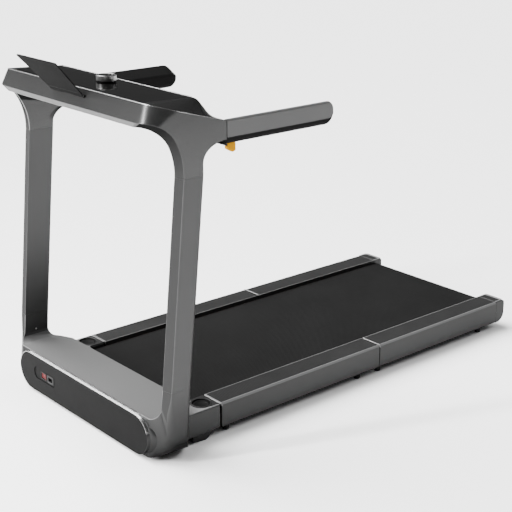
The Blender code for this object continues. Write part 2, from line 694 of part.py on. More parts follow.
# ---------------------------------------------------------------- rollers and walking belt
def make_rollers():
    """Front and rear roller: tubes with a hub and a web, each turning on a fixed axle."""
    bore, width, hub_r, tube_r, depth = 0.0082, 0.470, 0.0120, 0.0195, 0.205
    left_end = [(bore, 0.0), (hub_r, 0.0), (hub_r, depth), (tube_r, depth), (tube_r, 0.0),
                (ROLLER_R, 0.0)]
    plain = left_end + [(radius, width - reach) for radius, reach in reversed(left_end)]
    pulley = [PULLEY_X[0] + width / 2, PULLEY_X[1] + width / 2]
    driven = left_end + [(ROLLER_R, width), (hub_r, width), (hub_r, pulley[0]),
                         (PULLEY_R, pulley[0]), (PULLEY_R, pulley[1]), (bore, pulley[1])]
    for name, y, profile in (("front_roller", FRONT_ROLLER_Y, driven),
                             ("rear_roller", REAR_ROLLER_Y, plain)):
        roller = turned(name, profile, (-width / 2, place(y), ROLLER_Z), (1, 0, 0), "steel", 32)
        set_origin(roller, (-width / 2, place(y), ROLLER_Z))
    rod("front_axle", (-0.286, place(FRONT_ROLLER_Y), ROLLER_Z),
        (0.286, place(FRONT_ROLLER_Y), ROLLER_Z), 0.0079, "steel", 20)
    rod("rear_axle", (-0.290, place(REAR_ROLLER_Y), ROLLER_Z),
        (0.290, place(REAR_ROLLER_Y), ROLLER_Z), 0.0079, "steel", 20)


def belt_outline(y_roller, y_end, direction):
    """U-shaped belt strip: around a roller and along both strands to y_end."""
    inner_r = ROLLER_R + GAP
    outer_r = inner_r + BELT_THICK
    centre = (place(y_roller), ROLLER_Z)
    start, end = (90, 270) if direction > 0 else (90, -90)
    outer = arc(centre, outer_r, start, end, 14)
    inner = arc(centre, inner_r, end, start, 14)
    far = place(y_end)
    return ([(far, ROLLER_Z + outer_r)] + outer + [(far, ROLLER_Z - outer_r)]
            + [(far, ROLLER_Z - inner_r)] + inner + [(far, ROLLER_Z + inner_r)])


def make_belt():
    """The walking belt, cut at the fold lines: two wraps and two flat strands."""
    prism("belt_front_wrap", belt_outline(FRONT_ROLLER_Y, -0.002, 1), -BELT_HALF, BELT_HALF, "X",
          "belt")
    prism("belt_rear_wrap", belt_outline(REAR_ROLLER_Y, HALF_DECK + 0.002, -1), -BELT_HALF,
          BELT_HALF, "X", "belt")
    span = (place(0.002), place(HALF_DECK - 0.002))
    top = ROLLER_Z + ROLLER_R + GAP
    low = ROLLER_Z - ROLLER_R - GAP
    box("belt_top_strand", (-BELT_HALF, BELT_HALF), span, (top, top + BELT_THICK), "belt")
    box("belt_return_strand", (-BELT_HALF, BELT_HALF), span, (low - BELT_THICK, low), "belt")


# ---------------------------------------------------------------- folding deck
def rail_outline(sign):
    """Channel section of a side rail in X and Z, open towards the belt."""
    wall, chamfer = 0.0035, 0.005
    outline = [(RAIL_IN, RAIL_TOP), (DECK_OUT - chamfer, RAIL_TOP), (DECK_OUT, RAIL_TOP - chamfer),
               (DECK_OUT, RAIL_BOTTOM + 0.003), (DECK_OUT - 0.003, RAIL_BOTTOM),
               (RAIL_IN + 0.012, RAIL_BOTTOM), (RAIL_IN + 0.012, RAIL_BOTTOM + wall),
               (DECK_OUT - wall, RAIL_BOTTOM + wall), (DECK_OUT - wall, RAIL_TOP - 0.0075),
               (RAIL_IN + wall, RAIL_TOP - 0.0075), (RAIL_IN + wall, RAIL_TOP - 0.014),
               (RAIL_IN, RAIL_TOP - 0.014)]
    return [(sign * x, z) for x, z in outline]


CAP_START = 1.146


def make_deck():
    """Both halves of the deck: rails, boards, cross tubes, belly pans, feet and end caps."""
    halves = (("front", SEAM, HALF_DECK - SEAM, SEAM + 0.001, HALF_DECK - SEAM - 0.001,
               (0.030, 0.530)),
              ("rear", HALF_DECK + SEAM, CAP_START - GAP, HALF_DECK + SEAM + 0.001, 1.120,
               (0.616, 1.082)))
    for half, rail_start, rail_end, board_start, board_end, feet in halves:
        for side, sign in SIDES:
            rail = prism(f"rail_{half}_{side}", rail_outline(sign), place(rail_start),
                         place(rail_end), "Y", "rail_grey")
            for number, y in enumerate(feet):
                cut(rail, make_foot(f"foot_{half}_{side}_{number}", sign, y), "UNION")
        box("deck_board_" + half, (-0.2345, 0.2345), (place(board_start), place(board_end)),
            (0.0625, 0.0768), "board")
        middle = (rail_start + rail_end) / 2
        tube = box("cross_tube_" + half, (-0.3090, 0.3090),
                   (place(middle - 0.020), place(middle + 0.020)), (0.0370, 0.0622), "steel")
        cut(tube, box("tube_bore_" + half, (-0.32, 0.32),
                      (place(middle - 0.018), place(middle + 0.018)), (0.0390, 0.0602), "steel"))
        box("belly_pan_" + half, (-0.2500, 0.2500), (place(rail_start + 0.002),
                                                     place(rail_end - 0.004)),
            (0.0212, 0.0228), "black_plastic")
    for side, sign in SIDES:
        make_end_cap(side, sign)
        rod("middle_fold_pin_" + side,
            (sign * (RAIL_IN + 0.004), place(HALF_DECK), FOLD_Z - 0.0005),
            (sign * (DECK_OUT - 0.003), place(HALF_DECK), FOLD_Z - 0.0005), 0.0011,
            "bright_trim", 12)


def make_foot(name, sign, y):
    """Rubber foot moulded into the bottom lip of a rail."""
    return rod(name, (sign * 0.292, place(y), 0.0), (sign * 0.292, place(y), RAIL_BOTTOM + 0.002),
               0.0085, "rubber", 20)


def make_end_cap(side, sign):
    """Rounded rear end of a side rail, with a pocket for the axle."""
    radius = 0.030
    rear = place(DECK_LENGTH)
    start = place(CAP_START)
    outline = [(start, RAIL_BOTTOM), (rear - radius, RAIL_BOTTOM)]
    outline += arc((rear - radius, RAIL_BOTTOM + radius), radius, -75, 0, 6)
    outline += [(rear, RAIL_TOP - 0.010)]
    outline += arc((rear - 0.010, RAIL_TOP - 0.010), 0.010, 20, 90, 4)
    outline += [(start, RAIL_TOP)]
    cap = prism("end_cap_" + side, outline, sign * RAIL_IN, sign * DECK_OUT, "X", "rail_grey")
    cut(cap, box("cap_pocket_" + side, (sign * 0.230, sign * 0.2930)[::sign],
                 (start - 0.01, place(REAR_ROLLER_Y + 0.012)), (0.0420, 0.0680), "rail_grey"))


# ---------------------------------------------------------------- console fittings
def make_console_fittings():
    """Glass, display board, knob with its shaft and encoder, and the tablet rest."""
    front, rear = -0.2130, -0.0680
    outline = [(place(front), glass_z(front) - 0.0027), (place(rear), glass_z(rear) - 0.0027),
               (place(rear), glass_z(rear)), (place(front), glass_z(front))]
    glass = prism("console_glass", outline, -0.2960, 0.2960, "X", "black_glass")
    normal = Vector((0, GLASS_SLOPE, 1)).normalized()
    seat = Vector((0.0, place(KNOB_Y), glass_z(KNOB_Y)))
    cut(glass, rod("knob_bore", seat - normal * 0.02, seat + normal * 0.02, 0.0056,
                   "black_glass", 20))
    box("display_board", (-0.215, -0.030), (place(-0.200), place(-0.086)), (0.8990, 0.9006),
        "circuit")
    shaft = rod("knob_shaft", seat - normal * 0.0100, seat + normal * 0.0105, 0.0050, "steel", 20)
    set_origin(shaft, seat)
    box("knob_encoder", (-0.011, 0.011), (place(KNOB_Y - 0.011), place(KNOB_Y + 0.011)),
        (0.8800, 0.9040), "circuit")
    rings = [(0.0280, 0.0028), (0.0290, 0.0040), (0.0290, 0.0185), (0.0278, 0.0200),
             (0.0, 0.0203)]
    bore = [(0.0, 0.0112), (0.0054, 0.0112), (0.0054, 0.0028)]
    make_knob(bore + rings, seat, normal)
    make_tablet_rest()


def make_knob(profile, seat, normal):
    """Round speed knob, hollow below for its shaft."""
    points = 40
    turn = Vector((0, 0, 1)).rotation_difference(normal)
    rings = profile[1:-1]
    vertices = []
    for radius, height in rings:
        for i in range(points):
            angle = 2 * math.pi * i / points
            vertices.append(seat + turn @ Vector((radius * math.cos(angle),
                                                  radius * math.sin(angle), height)))
    first, last = len(vertices), len(vertices) + 1
    vertices += [seat + turn @ Vector((0, 0, profile[0][1])),
                 seat + turn @ Vector((0, 0, profile[-1][1]))]
    faces = []
    top = (len(rings) - 1) * points
    for i in range(points):
        j = (i + 1) % points
        faces.append((first, i, j))
        faces.append((last, top + i, top + j))
        for ring in range(len(rings) - 1):
            a, b = ring * points, (ring + 1) * points
            faces.append((a + i, a + j, b + j, b + i))
    knob = new_object("speed_knob", vertices, faces, "knob_metal", True)
    set_origin(knob, seat)


def make_tablet_rest():
    """Tapered plate that leans away from the walker, on a pin in front of the fascia."""
    root = Vector((0.0, place(REST_AXIS[0]), REST_AXIS[1]))
    up = Vector((0.0, *REST_UP))
    out = Vector((0.0, up.z, -up.y))
    half_root, half_tip = 0.0775, 0.0920
    vertices = []
    for half, reach in ((half_root, 0.0020), (half_tip, REST_LENGTH)):
        for x in (-half, half):
            for offset in (-REST_THICK / 2, REST_THICK / 2):
                vertices.append(root + up * reach + out * offset + Vector((x, 0, 0)))
    faces = [(0, 1, 3, 2), (4, 6, 7, 5), (0, 4, 5, 1), (2, 3, 7, 6), (0, 2, 6, 4), (1, 5, 7, 3)]
    holder = new_object("tablet_rest", vertices, faces, "panel_dark")
    set_origin(holder, root)
    rod("tablet_rest_pin", root - Vector((0.0765, 0, 0)), root + Vector((0.0765, 0, 0)), 0.0014,
        "steel", 12)


# ---------------------------------------------------------------- handrails
def handrail_outline(y):
    """Rounded section of a handrail in X and Z, shrinking at its round free end."""
    end_radius = 0.026
    reach = max(0.0, y - (HANDRAIL_END - end_radius))
    shrink = end_radius - math.sqrt(max(0.0, end_radius ** 2 - reach ** 2))
    low, high = HANDRAIL_LOW + shrink, HANDRAIL_HIGH - shrink
    half = (high - low) / 2
    inset = shrink * 0.35
    left, right = HANDRAIL_IN + inset, HANDRAIL_OUT - inset
    radius = min(0.013, half * 0.6)
    points = []
    for centre, start in (((right - radius, low + radius), -90), ((right - radius, high - radius), 0),
                          ((left + radius, high - radius), 90),
                          ((left + radius, low + radius), 180)):
        points += arc(centre, radius, start, start + 90, 4)
    return points


def make_handrails():
    """Folding handrails with their hinge pins and yellow release levers."""
    stations = [RAIL_END_Y + 0.0004, 0.15]
    stations += [HANDRAIL_END - 0.026 * (1 - math.sin(math.radians(a))) for a in (0, 25, 45, 65, 85)]
    for side, sign in SIDES:
        sections = [[Vector((sign * x, y, z)) for x, z in handrail_outline(y)] for y in stations]
        rail = loft("handrail_" + side, sections, "grip_black")
        notch = rod("rail_notch_" + side, (sign * 0.3185, place(ARM_AXIS[0]), ARM_AXIS[1]),
                    (sign * 0.3595, place(ARM_AXIS[0]), ARM_AXIS[1]), 0.0036, "grip_black", 16)
        cut(rail, notch)
        cut(rail, box("lever_room_" + side, (sign * 0.3300, sign * 0.3480)[::sign],
                      (place(0.0010), place(0.0400)), (0.79, 0.8200), "grip_black"))
        pivot = (sign * 0.339, place(0.0120), 0.8110)
        set_origin(rail, (sign * 0.339, place(ARM_AXIS[0]), ARM_AXIS[1]))
        rod("handrail_pin_" + side, (sign * 0.3190, place(ARM_AXIS[0]), ARM_AXIS[1]),
            (sign * 0.3590, place(ARM_AXIS[0]), ARM_AXIS[1]), 0.0030, "steel", 14)
        shape = [(0.0060, 0.8150), (0.0030, 0.8070), (0.0020, 0.7860), (0.0180, 0.7770),
                 (0.0270, 0.7800), (0.0270, 0.8000), (0.0180, 0.8150)]
        lever = prism("release_lever_" + side, [(place(y), z) for y, z in shape],
                      sign * 0.3315, sign * 0.3465, "X", "yellow")
        set_origin(lever, pivot)


# ---------------------------------------------------------------- build
def clear_scene():
    """Start from an empty scene."""
    for thing in list(bpy.data.objects):
        bpy.data.objects.remove(thing, do_unlink=True)


def main():
    """Model every piece."""
    clear_scene()
    make_base_housing()
    make_uprights()
    make_console_body()
    make_front_panel()
    make_base_inside()
    make_knuckles()
    make_rollers()
    make_belt()
    make_deck()
    make_console_fittings()
    make_handrails()


main()
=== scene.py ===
"""Looks of the folding treadmill: smooth shells, trims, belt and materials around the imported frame.

Metres, +Z up, the frame's own axes: the console is at -Y and the belt runs towards +Y.  Heights
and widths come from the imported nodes; distances along the machine are given from the first fold
line, as in the design.
"""

import json
import math

import bmesh
import bpy
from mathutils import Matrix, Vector

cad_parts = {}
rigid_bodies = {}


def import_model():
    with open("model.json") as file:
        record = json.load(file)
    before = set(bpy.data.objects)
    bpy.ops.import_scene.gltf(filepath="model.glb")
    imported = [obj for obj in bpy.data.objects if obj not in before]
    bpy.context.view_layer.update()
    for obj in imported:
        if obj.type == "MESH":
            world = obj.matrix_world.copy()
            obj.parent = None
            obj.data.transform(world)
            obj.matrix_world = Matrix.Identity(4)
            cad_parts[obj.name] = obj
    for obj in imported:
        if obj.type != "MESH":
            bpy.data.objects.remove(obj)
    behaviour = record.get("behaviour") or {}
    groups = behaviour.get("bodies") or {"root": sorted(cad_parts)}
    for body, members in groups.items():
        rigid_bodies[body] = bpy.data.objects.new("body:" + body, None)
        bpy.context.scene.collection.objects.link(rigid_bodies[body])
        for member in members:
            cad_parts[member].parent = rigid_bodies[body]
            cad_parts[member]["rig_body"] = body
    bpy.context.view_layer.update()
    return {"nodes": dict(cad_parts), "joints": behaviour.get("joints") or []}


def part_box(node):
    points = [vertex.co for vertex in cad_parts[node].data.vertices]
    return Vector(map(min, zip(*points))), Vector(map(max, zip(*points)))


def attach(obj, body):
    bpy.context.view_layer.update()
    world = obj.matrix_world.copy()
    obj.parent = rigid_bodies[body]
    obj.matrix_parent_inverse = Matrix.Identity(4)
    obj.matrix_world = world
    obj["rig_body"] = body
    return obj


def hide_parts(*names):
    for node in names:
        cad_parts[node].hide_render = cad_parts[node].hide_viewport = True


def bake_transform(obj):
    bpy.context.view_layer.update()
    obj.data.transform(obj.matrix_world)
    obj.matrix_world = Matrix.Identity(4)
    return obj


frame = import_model()
NODES = frame["nodes"]

# ---------------------------------------------------------------- sizes read from the frame
SIDES = (("left", 1), ("right", -1))
JOINTS = {joint["name"]: joint for joint in frame["joints"]}
FOLD = JOINTS["deck_raise"]["pos_m"][1] + 0.0015     # Y of the first fold line
HALF_DECK = JOINTS["deck_fold"]["pos_m"][1] - FOLD
RING_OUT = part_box("base_housing")[1].x
RING_IN = RING_OUT - 0.032
HOOD_TOP = 0.122
RING_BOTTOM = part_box("base_housing")[0].z
SPLIT_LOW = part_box("base_housing")[1].z
SPLIT_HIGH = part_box("console_body")[0].z
RAIL_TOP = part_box("rail_front_left")[1].z
RAIL_BOTTOM = 0.020
RAIL_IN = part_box("rail_front_left")[0].x
DECK_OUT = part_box("rail_front_left")[1].x
BELT_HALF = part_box("belt_top_strand")[1].x
BELT_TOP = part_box("belt_top_strand")[1].z
HANDRAIL_LOW, HANDRAIL_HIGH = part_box("handrail_left")[0].z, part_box("handrail_left")[1].z
HANDRAIL_IN, HANDRAIL_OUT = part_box("handrail_left")[0].x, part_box("handrail_left")[1].x
HANDRAIL_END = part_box("handrail_left")[1].y - FOLD


def place(y):
    """Y in the frame of a point given from the first fold line."""
    return FOLD + y


# ---------------------------------------------------------------- camera, floor and light
CAMERA_AT = (2.5361, place(-1.78135), 1.47337)
CAMERA_AZIMUTH = 49.46
CAMERA_ELEVATION = 18.81
CAMERA_LENS = 83.47

# Name, azimuth and elevation in degrees, strength, apparent width in degrees.
SUNS = (("high_left", -66, 56, 12.5, 50), ("left_fill", -72, 20, 0.55, 40),
        ("back_right", 152, 46, 1.8, 40))
STRIP_FROM = (-12, 18)
STRIP_DISTANCE = 3.6
STRIP_SIZE = (0.20, 2.0)
STRIP_POWER = 290
MACHINE_MIDDLE = Vector((0.0, 0.0, 0.5))
STUDIO_STRENGTH = 0.12
BACKDROP_STRENGTH = 3.0
FLOOR_REACH = 30.0


def make_camera():
    """Camera at the photograph's viewing angle."""
    data = bpy.data.cameras.new("camera")
    data.lens = CAMERA_LENS
    data.sensor_width = 36.0
    data.clip_end = 100.0
    camera = bpy.data.objects.new("camera", data)
    bpy.context.scene.collection.objects.link(camera)
    camera.location = CAMERA_AT
    camera.rotation_euler = (math.radians(90 - CAMERA_ELEVATION), 0.0,
                             math.radians(CAMERA_AZIMUTH))
    bpy.context.scene.camera = camera


def towards(azimuth, elevation):
    """Unit vector from the object to a light or camera at that azimuth and elevation."""
    a, e = math.radians(azimuth), math.radians(elevation)
    return Vector((math.sin(a) * math.cos(e), -math.cos(a) * math.cos(e), math.sin(e)))


def add_light(name, kind, power, azimuth, elevation):
    """A lamp that shines from an azimuth and elevation; returns it and the way to it."""
    data = bpy.data.lights.new(name, kind)
    data.energy = power
    lamp = bpy.data.objects.new(name, data)
    bpy.context.scene.collection.objects.link(lamp)
    direction = towards(azimuth, elevation)
    lamp.rotation_euler = direction.to_track_quat("Z", "Y").to_euler()
    return lamp, direction


def make_lights():
    """Three soft distant lights and a narrow strip that draws the front's highlights."""
    for name, azimuth, elevation, strength, spread in SUNS:
        lamp, direction = add_light(name, "SUN", strength, azimuth, elevation)
        lamp.data.angle = math.radians(spread)
    strip, direction = add_light("front_strip", "AREA", STRIP_POWER, *STRIP_FROM)
    strip.data.shape = "RECTANGLE"
    strip.data.size, strip.data.size_y = STRIP_SIZE
    strip.location = MACHINE_MIDDLE + direction * STRIP_DISTANCE


def make_world():
    """White behind the object, a dim grey studio for everything that reflects it."""
    world = bpy.data.worlds.new("studio")
    bpy.context.scene.world = world
    world.use_nodes = True
    nodes, links = world.node_tree.nodes, world.node_tree.links
    nodes.clear()
    output = nodes.new("ShaderNodeOutputWorld")
    mixed = nodes.new("ShaderNodeMixShader")
    path = nodes.new("ShaderNodeLightPath")
    links.new(path.outputs["Is Camera Ray"], mixed.inputs["Fac"])
    for socket, strength in ((1, STUDIO_STRENGTH), (2, BACKDROP_STRENGTH)):
        light = nodes.new("ShaderNodeBackground")
        light.inputs["Color"].default_value = (1.0, 1.0, 1.0, 1.0)
        light.inputs["Strength"].default_value = strength
        links.new(light.outputs["Background"], mixed.inputs[socket])
    links.new(mixed.outputs["Shader"], output.inputs["Surface"])


def make_floor():
    """Pale matt floor."""
    mesh = bpy.data.meshes.new("floor")
    signs = ((-1, -1), (1, -1), (1, 1), (-1, 1))
    mesh.from_pydata([(i * FLOOR_REACH, j * FLOOR_REACH, 0.0) for i, j in signs], [],
                     [(0, 1, 2, 3)])
    floor = bpy.data.objects.new("floor", mesh)
    bpy.context.scene.collection.objects.link(floor)
    made, shader = new_material("floor_white")
    shader.inputs["Base Color"].default_value = (0.92, 0.92, 0.92, 1.0)
    shader.inputs["Roughness"].default_value = 0.9
    shader.inputs["Specular IOR Level"].default_value = 0.1
    mesh.materials.append(made)


# ---------------------------------------------------------------- materials
def new_material(name):
    """An empty Principled material and its shader."""
    made = bpy.data.materials.new(name)
    made.use_nodes = True
    return made, made.node_tree.nodes["Principled BSDF"]


SHADE_SHARE = 0.25                        # share of the colour left where the painted shade is deepest
LOOKS_DOWN = (-0.7, 0.05)           # Z of the normals over which painted shade deepens on faces that look down
PAINT_TINT = (0.3, 0.3, 0.3, 1.0)


class Recipe:
    """Small helper that adds procedural detail to one Principled material."""

    def __init__(self, name, metallic, roughness, specular=0.5):
        self.material, self.shader = new_material(name)
        self.nodes = self.material.node_tree.nodes
        self.links = self.material.node_tree.links
        self.shader.inputs["Metallic"].default_value = metallic
        self.shader.inputs["Roughness"].default_value = roughness
        self.shader.inputs["Specular IOR Level"].default_value = specular
        self.height = None

    def add(self, kind, wires, values=()):
        """A node with its incoming wires and its constant values, as (socket, x) pairs."""
        node = self.nodes.new(kind)
        for socket, value in values:
            node.inputs[socket].default_value = value
        for socket, output in wires:
            self.links.new(output, node.inputs[socket])
        return node

    def coordinates(self, stretch=(1, 1, 1), source="Object"):
        """Texture coordinates in metres, stretched along the axes."""
        where = self.add("ShaderNodeTexCoord", ())
        mapping = self.add("ShaderNodeMapping", [("Vector", where.outputs[source])],
                           [("Scale", stretch)])
        return mapping.outputs["Vector"]

    def noise(self, scale, detail=3.0, stretch=(1, 1, 1), source="Object"):
        """Noise texture's value."""
        texture = self.add("ShaderNodeTexNoise", [("Vector", self.coordinates(stretch, source))],
                           [("Scale", scale), ("Detail", detail)])
        return texture.outputs["Fac"]

    def wave(self, stretch, direction="X", source="Object"):
        """Even bands across one axis."""
        texture = self.add("ShaderNodeTexWave", [("Vector", self.coordinates(stretch, source))],
                           [("Scale", 1.0), ("Distortion", 0.0)])
        texture.bands_direction = direction
        return texture.outputs["Fac"]

    def ramp(self, value, low, high, start=0.3, end=0.7):
        """Map a 0 to 1 value between two colours or greys."""
        node = self.add("ShaderNodeValToRGB", [("Fac", value)])
        for number, (position, colour) in enumerate(((start, low), (end, high))):
            node.color_ramp.elements[number].position = position
            node.color_ramp.elements[number].color = (*colour, 1.0)
        return node.outputs["Color"]

    def colour(self, output):
        """Use an output as the base colour."""
        self.links.new(output, self.shader.inputs["Base Color"])

    def rough(self, value, low, high):
        """Vary the roughness with a 0 to 1 value."""
        node = self.add("ShaderNodeMapRange", [("Value", value)],
                        [("To Min", low), ("To Max", high)])
        self.links.new(node.outputs["Result"], self.shader.inputs["Roughness"])

    def bump(self, value, depth):
        """Add relief of that depth in metres on top of any earlier relief."""
        wires = [("Height", value)]
        if self.height is not None:
            wires.append(("Normal", self.height))
        node = self.add("ShaderNodeBump", wires, [("Strength", 1.0), ("Distance", depth)])
        self.height = node.outputs["Normal"]
        self.links.new(self.height, self.shader.inputs["Normal"])

    def darker_below(self, colour, source, start, end):
        """Colour in painted shade that darkens as Z of those coordinates goes from end to start."""
        where = self.add("ShaderNodeTexCoord", ())
        parts = self.add("ShaderNodeSeparateXYZ", [("Vector", where.outputs[source])])
        share = self.add("ShaderNodeMapRange", [("Value", parts.outputs["Z"])],
                         [("From Min", start), ("From Max", end), ("To Min", SHADE_SHARE)])
        shaded = self.add("ShaderNodeMix", ())
        shaded.data_type = "RGBA"
        shaded.blend_type = "MULTIPLY"
        shaded.inputs["Factor"].default_value = 1.0
        self.links.new(colour, shaded.inputs["A"])
        self.links.new(share.outputs["Result"], shaded.inputs["B"])
        return shaded.outputs["Result"]

    def multiply(self, a, b):
        """Product of two values."""
        node = self.add("ShaderNodeMath", [(0, a), (1, b)])
        node.operation = "MULTIPLY"
        return node.outputs["Value"]


def grey(value):
    """A neutral grey."""
    return (value, value, value)


def paint(name, level, metallic=0.45, roughness=0.36, specular=0.5, shade_heights=None):
    """Fine metallic paint with flake and slight orange peel, with painted shade on faces that look down.

    A second pair of heights (start, end) makes the paint also darken from the second to the first, as
    painted shade.
    """
    recipe = Recipe(name, metallic, roughness, specular)
    recipe.shader.inputs["Specular Tint"].default_value = PAINT_TINT
    tone = recipe.noise(3.0, 2.0)
    flake = recipe.noise(2200.0, 1.0)
    colour = recipe.ramp(tone, grey(level * 0.94), grey(level * 1.06))
    # Painted shade: faces that look down are darker.
    colour = recipe.darker_below(colour, "Normal", *LOOKS_DOWN)
    # Painted shade by height, between the two given heights.
    if shade_heights:
        colour = recipe.darker_below(colour, "Object", *shade_heights)
    recipe.colour(colour)
    recipe.rough(flake, roughness - 0.05, roughness + 0.07)
    recipe.bump(recipe.noise(420.0, 2.0), 0.00002)
    return recipe.material


def moulded(name, colour, roughness=0.5, grain=900.0, depth=0.00006, specular=0.5):
    """Moulded plastic with a fine spark-eroded grain."""
    recipe = Recipe(name, 0.0, roughness, specular)
    tone = recipe.noise(9.0, 3.0)
    dark = tuple(c * 0.88 for c in colour)
    light = tuple(c * 1.1 for c in colour)
    recipe.colour(recipe.ramp(tone, dark, light))
    recipe.rough(recipe.noise(60.0, 3.0), roughness - 0.05, roughness + 0.06)
    recipe.bump(recipe.noise(grain, 2.0), depth)
    return recipe.material


def brushed(name, level, roughness, stretch=(4, 400, 400)):
    """Metal with fine brush lines along the axis that is stretched least."""
    recipe = Recipe(name, 1.0, roughness)
    lines = recipe.noise(6.0, 4.0, stretch)
    recipe.colour(recipe.ramp(lines, grey(level * 0.93), grey(min(level * 1.05, 0.95))))
    recipe.rough(lines, roughness * 0.8, roughness * 1.25)
    recipe.bump(lines, 0.00001)
    return recipe.material


def make_belt_material():
    """Walking belt: black polymer with a fine diamond grip pattern."""
    recipe = Recipe("belt_rubber", 0.0, 0.62, specular=0.06)
    pitch = 124.0
    one = recipe.wave((pitch, pitch, 1), "DIAGONAL", "UV")
    other = recipe.wave((-pitch, pitch, 1), "DIAGONAL", "UV")
    grip = recipe.multiply(one, other)
    worn = recipe.noise(5.0, 4.0, source="UV")
    recipe.colour(recipe.ramp(worn, grey(0.0035), grey(0.0052)))
    recipe.rough(worn, 0.55, 0.7)
    recipe.bump(grip, 0.0006)
    recipe.bump(recipe.noise(900.0, 2.0, source="UV"), 0.0001)
    return recipe.material


def make_strip_material():
    """Foot strip of the side rails: ribbed anti-slip rubber."""
    recipe = Recipe("rail_strip", 0.0, 0.6, specular=0.1)
    ribs = recipe.wave((1, 52, 1), "Y")
    grit = recipe.noise(1400.0, 2.0)
    recipe.colour(recipe.ramp(recipe.noise(12.0, 4.0), grey(0.008), grey(0.011)))
    recipe.rough(grit, 0.52, 0.7)
    recipe.bump(ribs, 0.0004)
    recipe.bump(grit, 0.00012)
    return recipe.material


def make_board_material():
    """Phenolic-faced fibreboard of the deck."""
    recipe = Recipe("deck_board", 0.0, 0.6)
    fibre = recipe.noise(40.0, 6.0, (1, 0.15, 6))
    recipe.colour(recipe.ramp(fibre, (0.16, 0.11, 0.07), (0.3, 0.22, 0.14)))
    recipe.rough(fibre, 0.5, 0.75)
    recipe.bump(fibre, 0.0001)
    return recipe.material


def make_circuit_material():
    """Green board with a pattern of tracks."""
    recipe = Recipe("circuit_board", 0.0, 0.4)
    tracks = recipe.wave((260, 40, 1), "X")
    recipe.colour(recipe.ramp(tracks, (0.01, 0.10, 0.04), (0.03, 0.20, 0.09), 0.45, 0.55))
    recipe.rough(tracks, 0.3, 0.5)
    recipe.bump(tracks, 0.00005)
    return recipe.material


MATERIALS = {}


def make_materials():
    """Every material by the name the pieces use."""
    MATERIALS.update({
        "body": paint("ring_paint", 0.051, 0.75, 0.33),
        # Base paint: darker towards the floor, painted shade.
        "base": paint("base_paint", 0.051, 0.75, 0.33, shade_heights=(0.02, 0.20)),
        # Front paint: a darker, duller copy of the body paint, painted shade on the front faces.
        "front": paint("front_paint", 0.029, 0.0, 0.6, 0.0),
        # Console paint: darker towards its top, painted shade.
        "console": paint("console_paint", 0.053, 0.75, 0.27, shade_heights=(1.12, 0.77)),
        # Rim paint: pale paint for the rail end trims and cap rims, painted highlights on rail lips and
        # knuckle shoulders, and a painted reflection on the strip under the fascia.
        "rim": paint("rim_paint", 0.13, 0.0, 0.5, 0.15),
        # Chamfer paint: a lighter copy of the body paint, painted highlights on edges and chamfers.
        "chamfer": paint("chamfer_paint", 0.060, 0.6),
        # Hood paint: a lighter copy of the body paint, painted light on the hood's top.
        "hood": paint("hood_paint", 0.078, 0.0, 0.5, specular=0.15),
        "rail": paint("rail_paint", 0.032, 0.6),
        "plate": paint("handrail_plate_paint", 0.071, 0.6, 0.4),
        # Trim metal: bright metal that draws painted highlights on the console's top edges, the panel
        # bezel and the ridge behind the glass.
        "trim": brushed("bright_trim", 0.32, 0.25),
        # Edge metal: the fold pins and the knob's rim, and painted highlights on the inner edges of the
        # ring.
        "edge": brushed("edge_trim", 0.2, 0.3),
        "panel": moulded("panel_plastic", grey(0.004), 0.42, specular=0.02),
        "glass": moulded("console_glass", grey(0.0008), 0.06, 300.0, 0.000003, specular=0.08),
        "black": moulded("black_plastic", grey(0.008), 0.5, specular=0.2),
        "grip": moulded("grip_foam", grey(0.0028), 0.62, 700.0, 0.00015, specular=0.06),
        "rubber": moulded("foot_rubber", grey(0.008), 0.75, 500.0, 0.0001, specular=0.15),
        "steel": brushed("steel", 0.3, 0.35),
        "knob": brushed("knob_metal", 0.26, 0.34, (2, 2, 900)),
        "knob_top": moulded("knob_top_gloss", grey(0.003), 0.1, 300.0, 0.000003, specular=0.15),
        "holder": moulded("tablet_plastic", grey(0.0095), 0.6, specular=0.002),
        "yellow": moulded("yellow_plastic", (0.42, 0.19, 0.0), 0.5, specular=0.02),
        "red": moulded("red_plastic", (0.06, 0.0, 0.001), 0.3, specular=0.05),
        "belt": make_belt_material(),
        "strip": make_strip_material(),
        "board": make_board_material(),
        "circuit": make_circuit_material(),
    })


# ---------------------------------------------------------------- mesh helpers
def new_piece(name, vertices, faces, material, body, smooth=True):
    """A piece with outward normals that rides on a body."""
    mesh = bpy.data.meshes.new(name)
    work = bmesh.new()
    corners = [work.verts.new(v) for v in vertices]
    for face in faces:
        work.faces.new([corners[i] for i in face])
    bmesh.ops.recalc_face_normals(work, faces=work.faces)
    work.to_mesh(mesh)
    work.free()
    if smooth:
        mesh.shade_smooth()
    mesh.materials.append(MATERIALS[material])
    piece = bpy.data.objects.new(name, mesh)
    bpy.context.scene.collection.objects.link(piece)
    if body:
        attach(piece, body)
    return piece


def even_normals(piece, angle=35):
    """Keep broad faces flat-looking next to narrow rounded edges."""
    piece.data.set_sharp_from_angle(angle=math.radians(angle))
    weighted = piece.modifiers.new("even_normals", "WEIGHTED_NORMAL")
    weighted.keep_sharp = True
    weighted.weight = 80


def bevel(piece, width, segments=3, angle=35):
    """Round every edge sharper than the angle."""
    modifier = piece.modifiers.new("round_edges", "BEVEL")
    modifier.width = width
    modifier.segments = segments
    modifier.limit_method = "ANGLE"
    modifier.angle_limit = math.radians(angle)
    modifier.use_clamp_overlap = True
    piece.data.shade_smooth()
    weighted = piece.modifiers.new("even_normals", "WEIGHTED_NORMAL")
    weighted.weight = 80


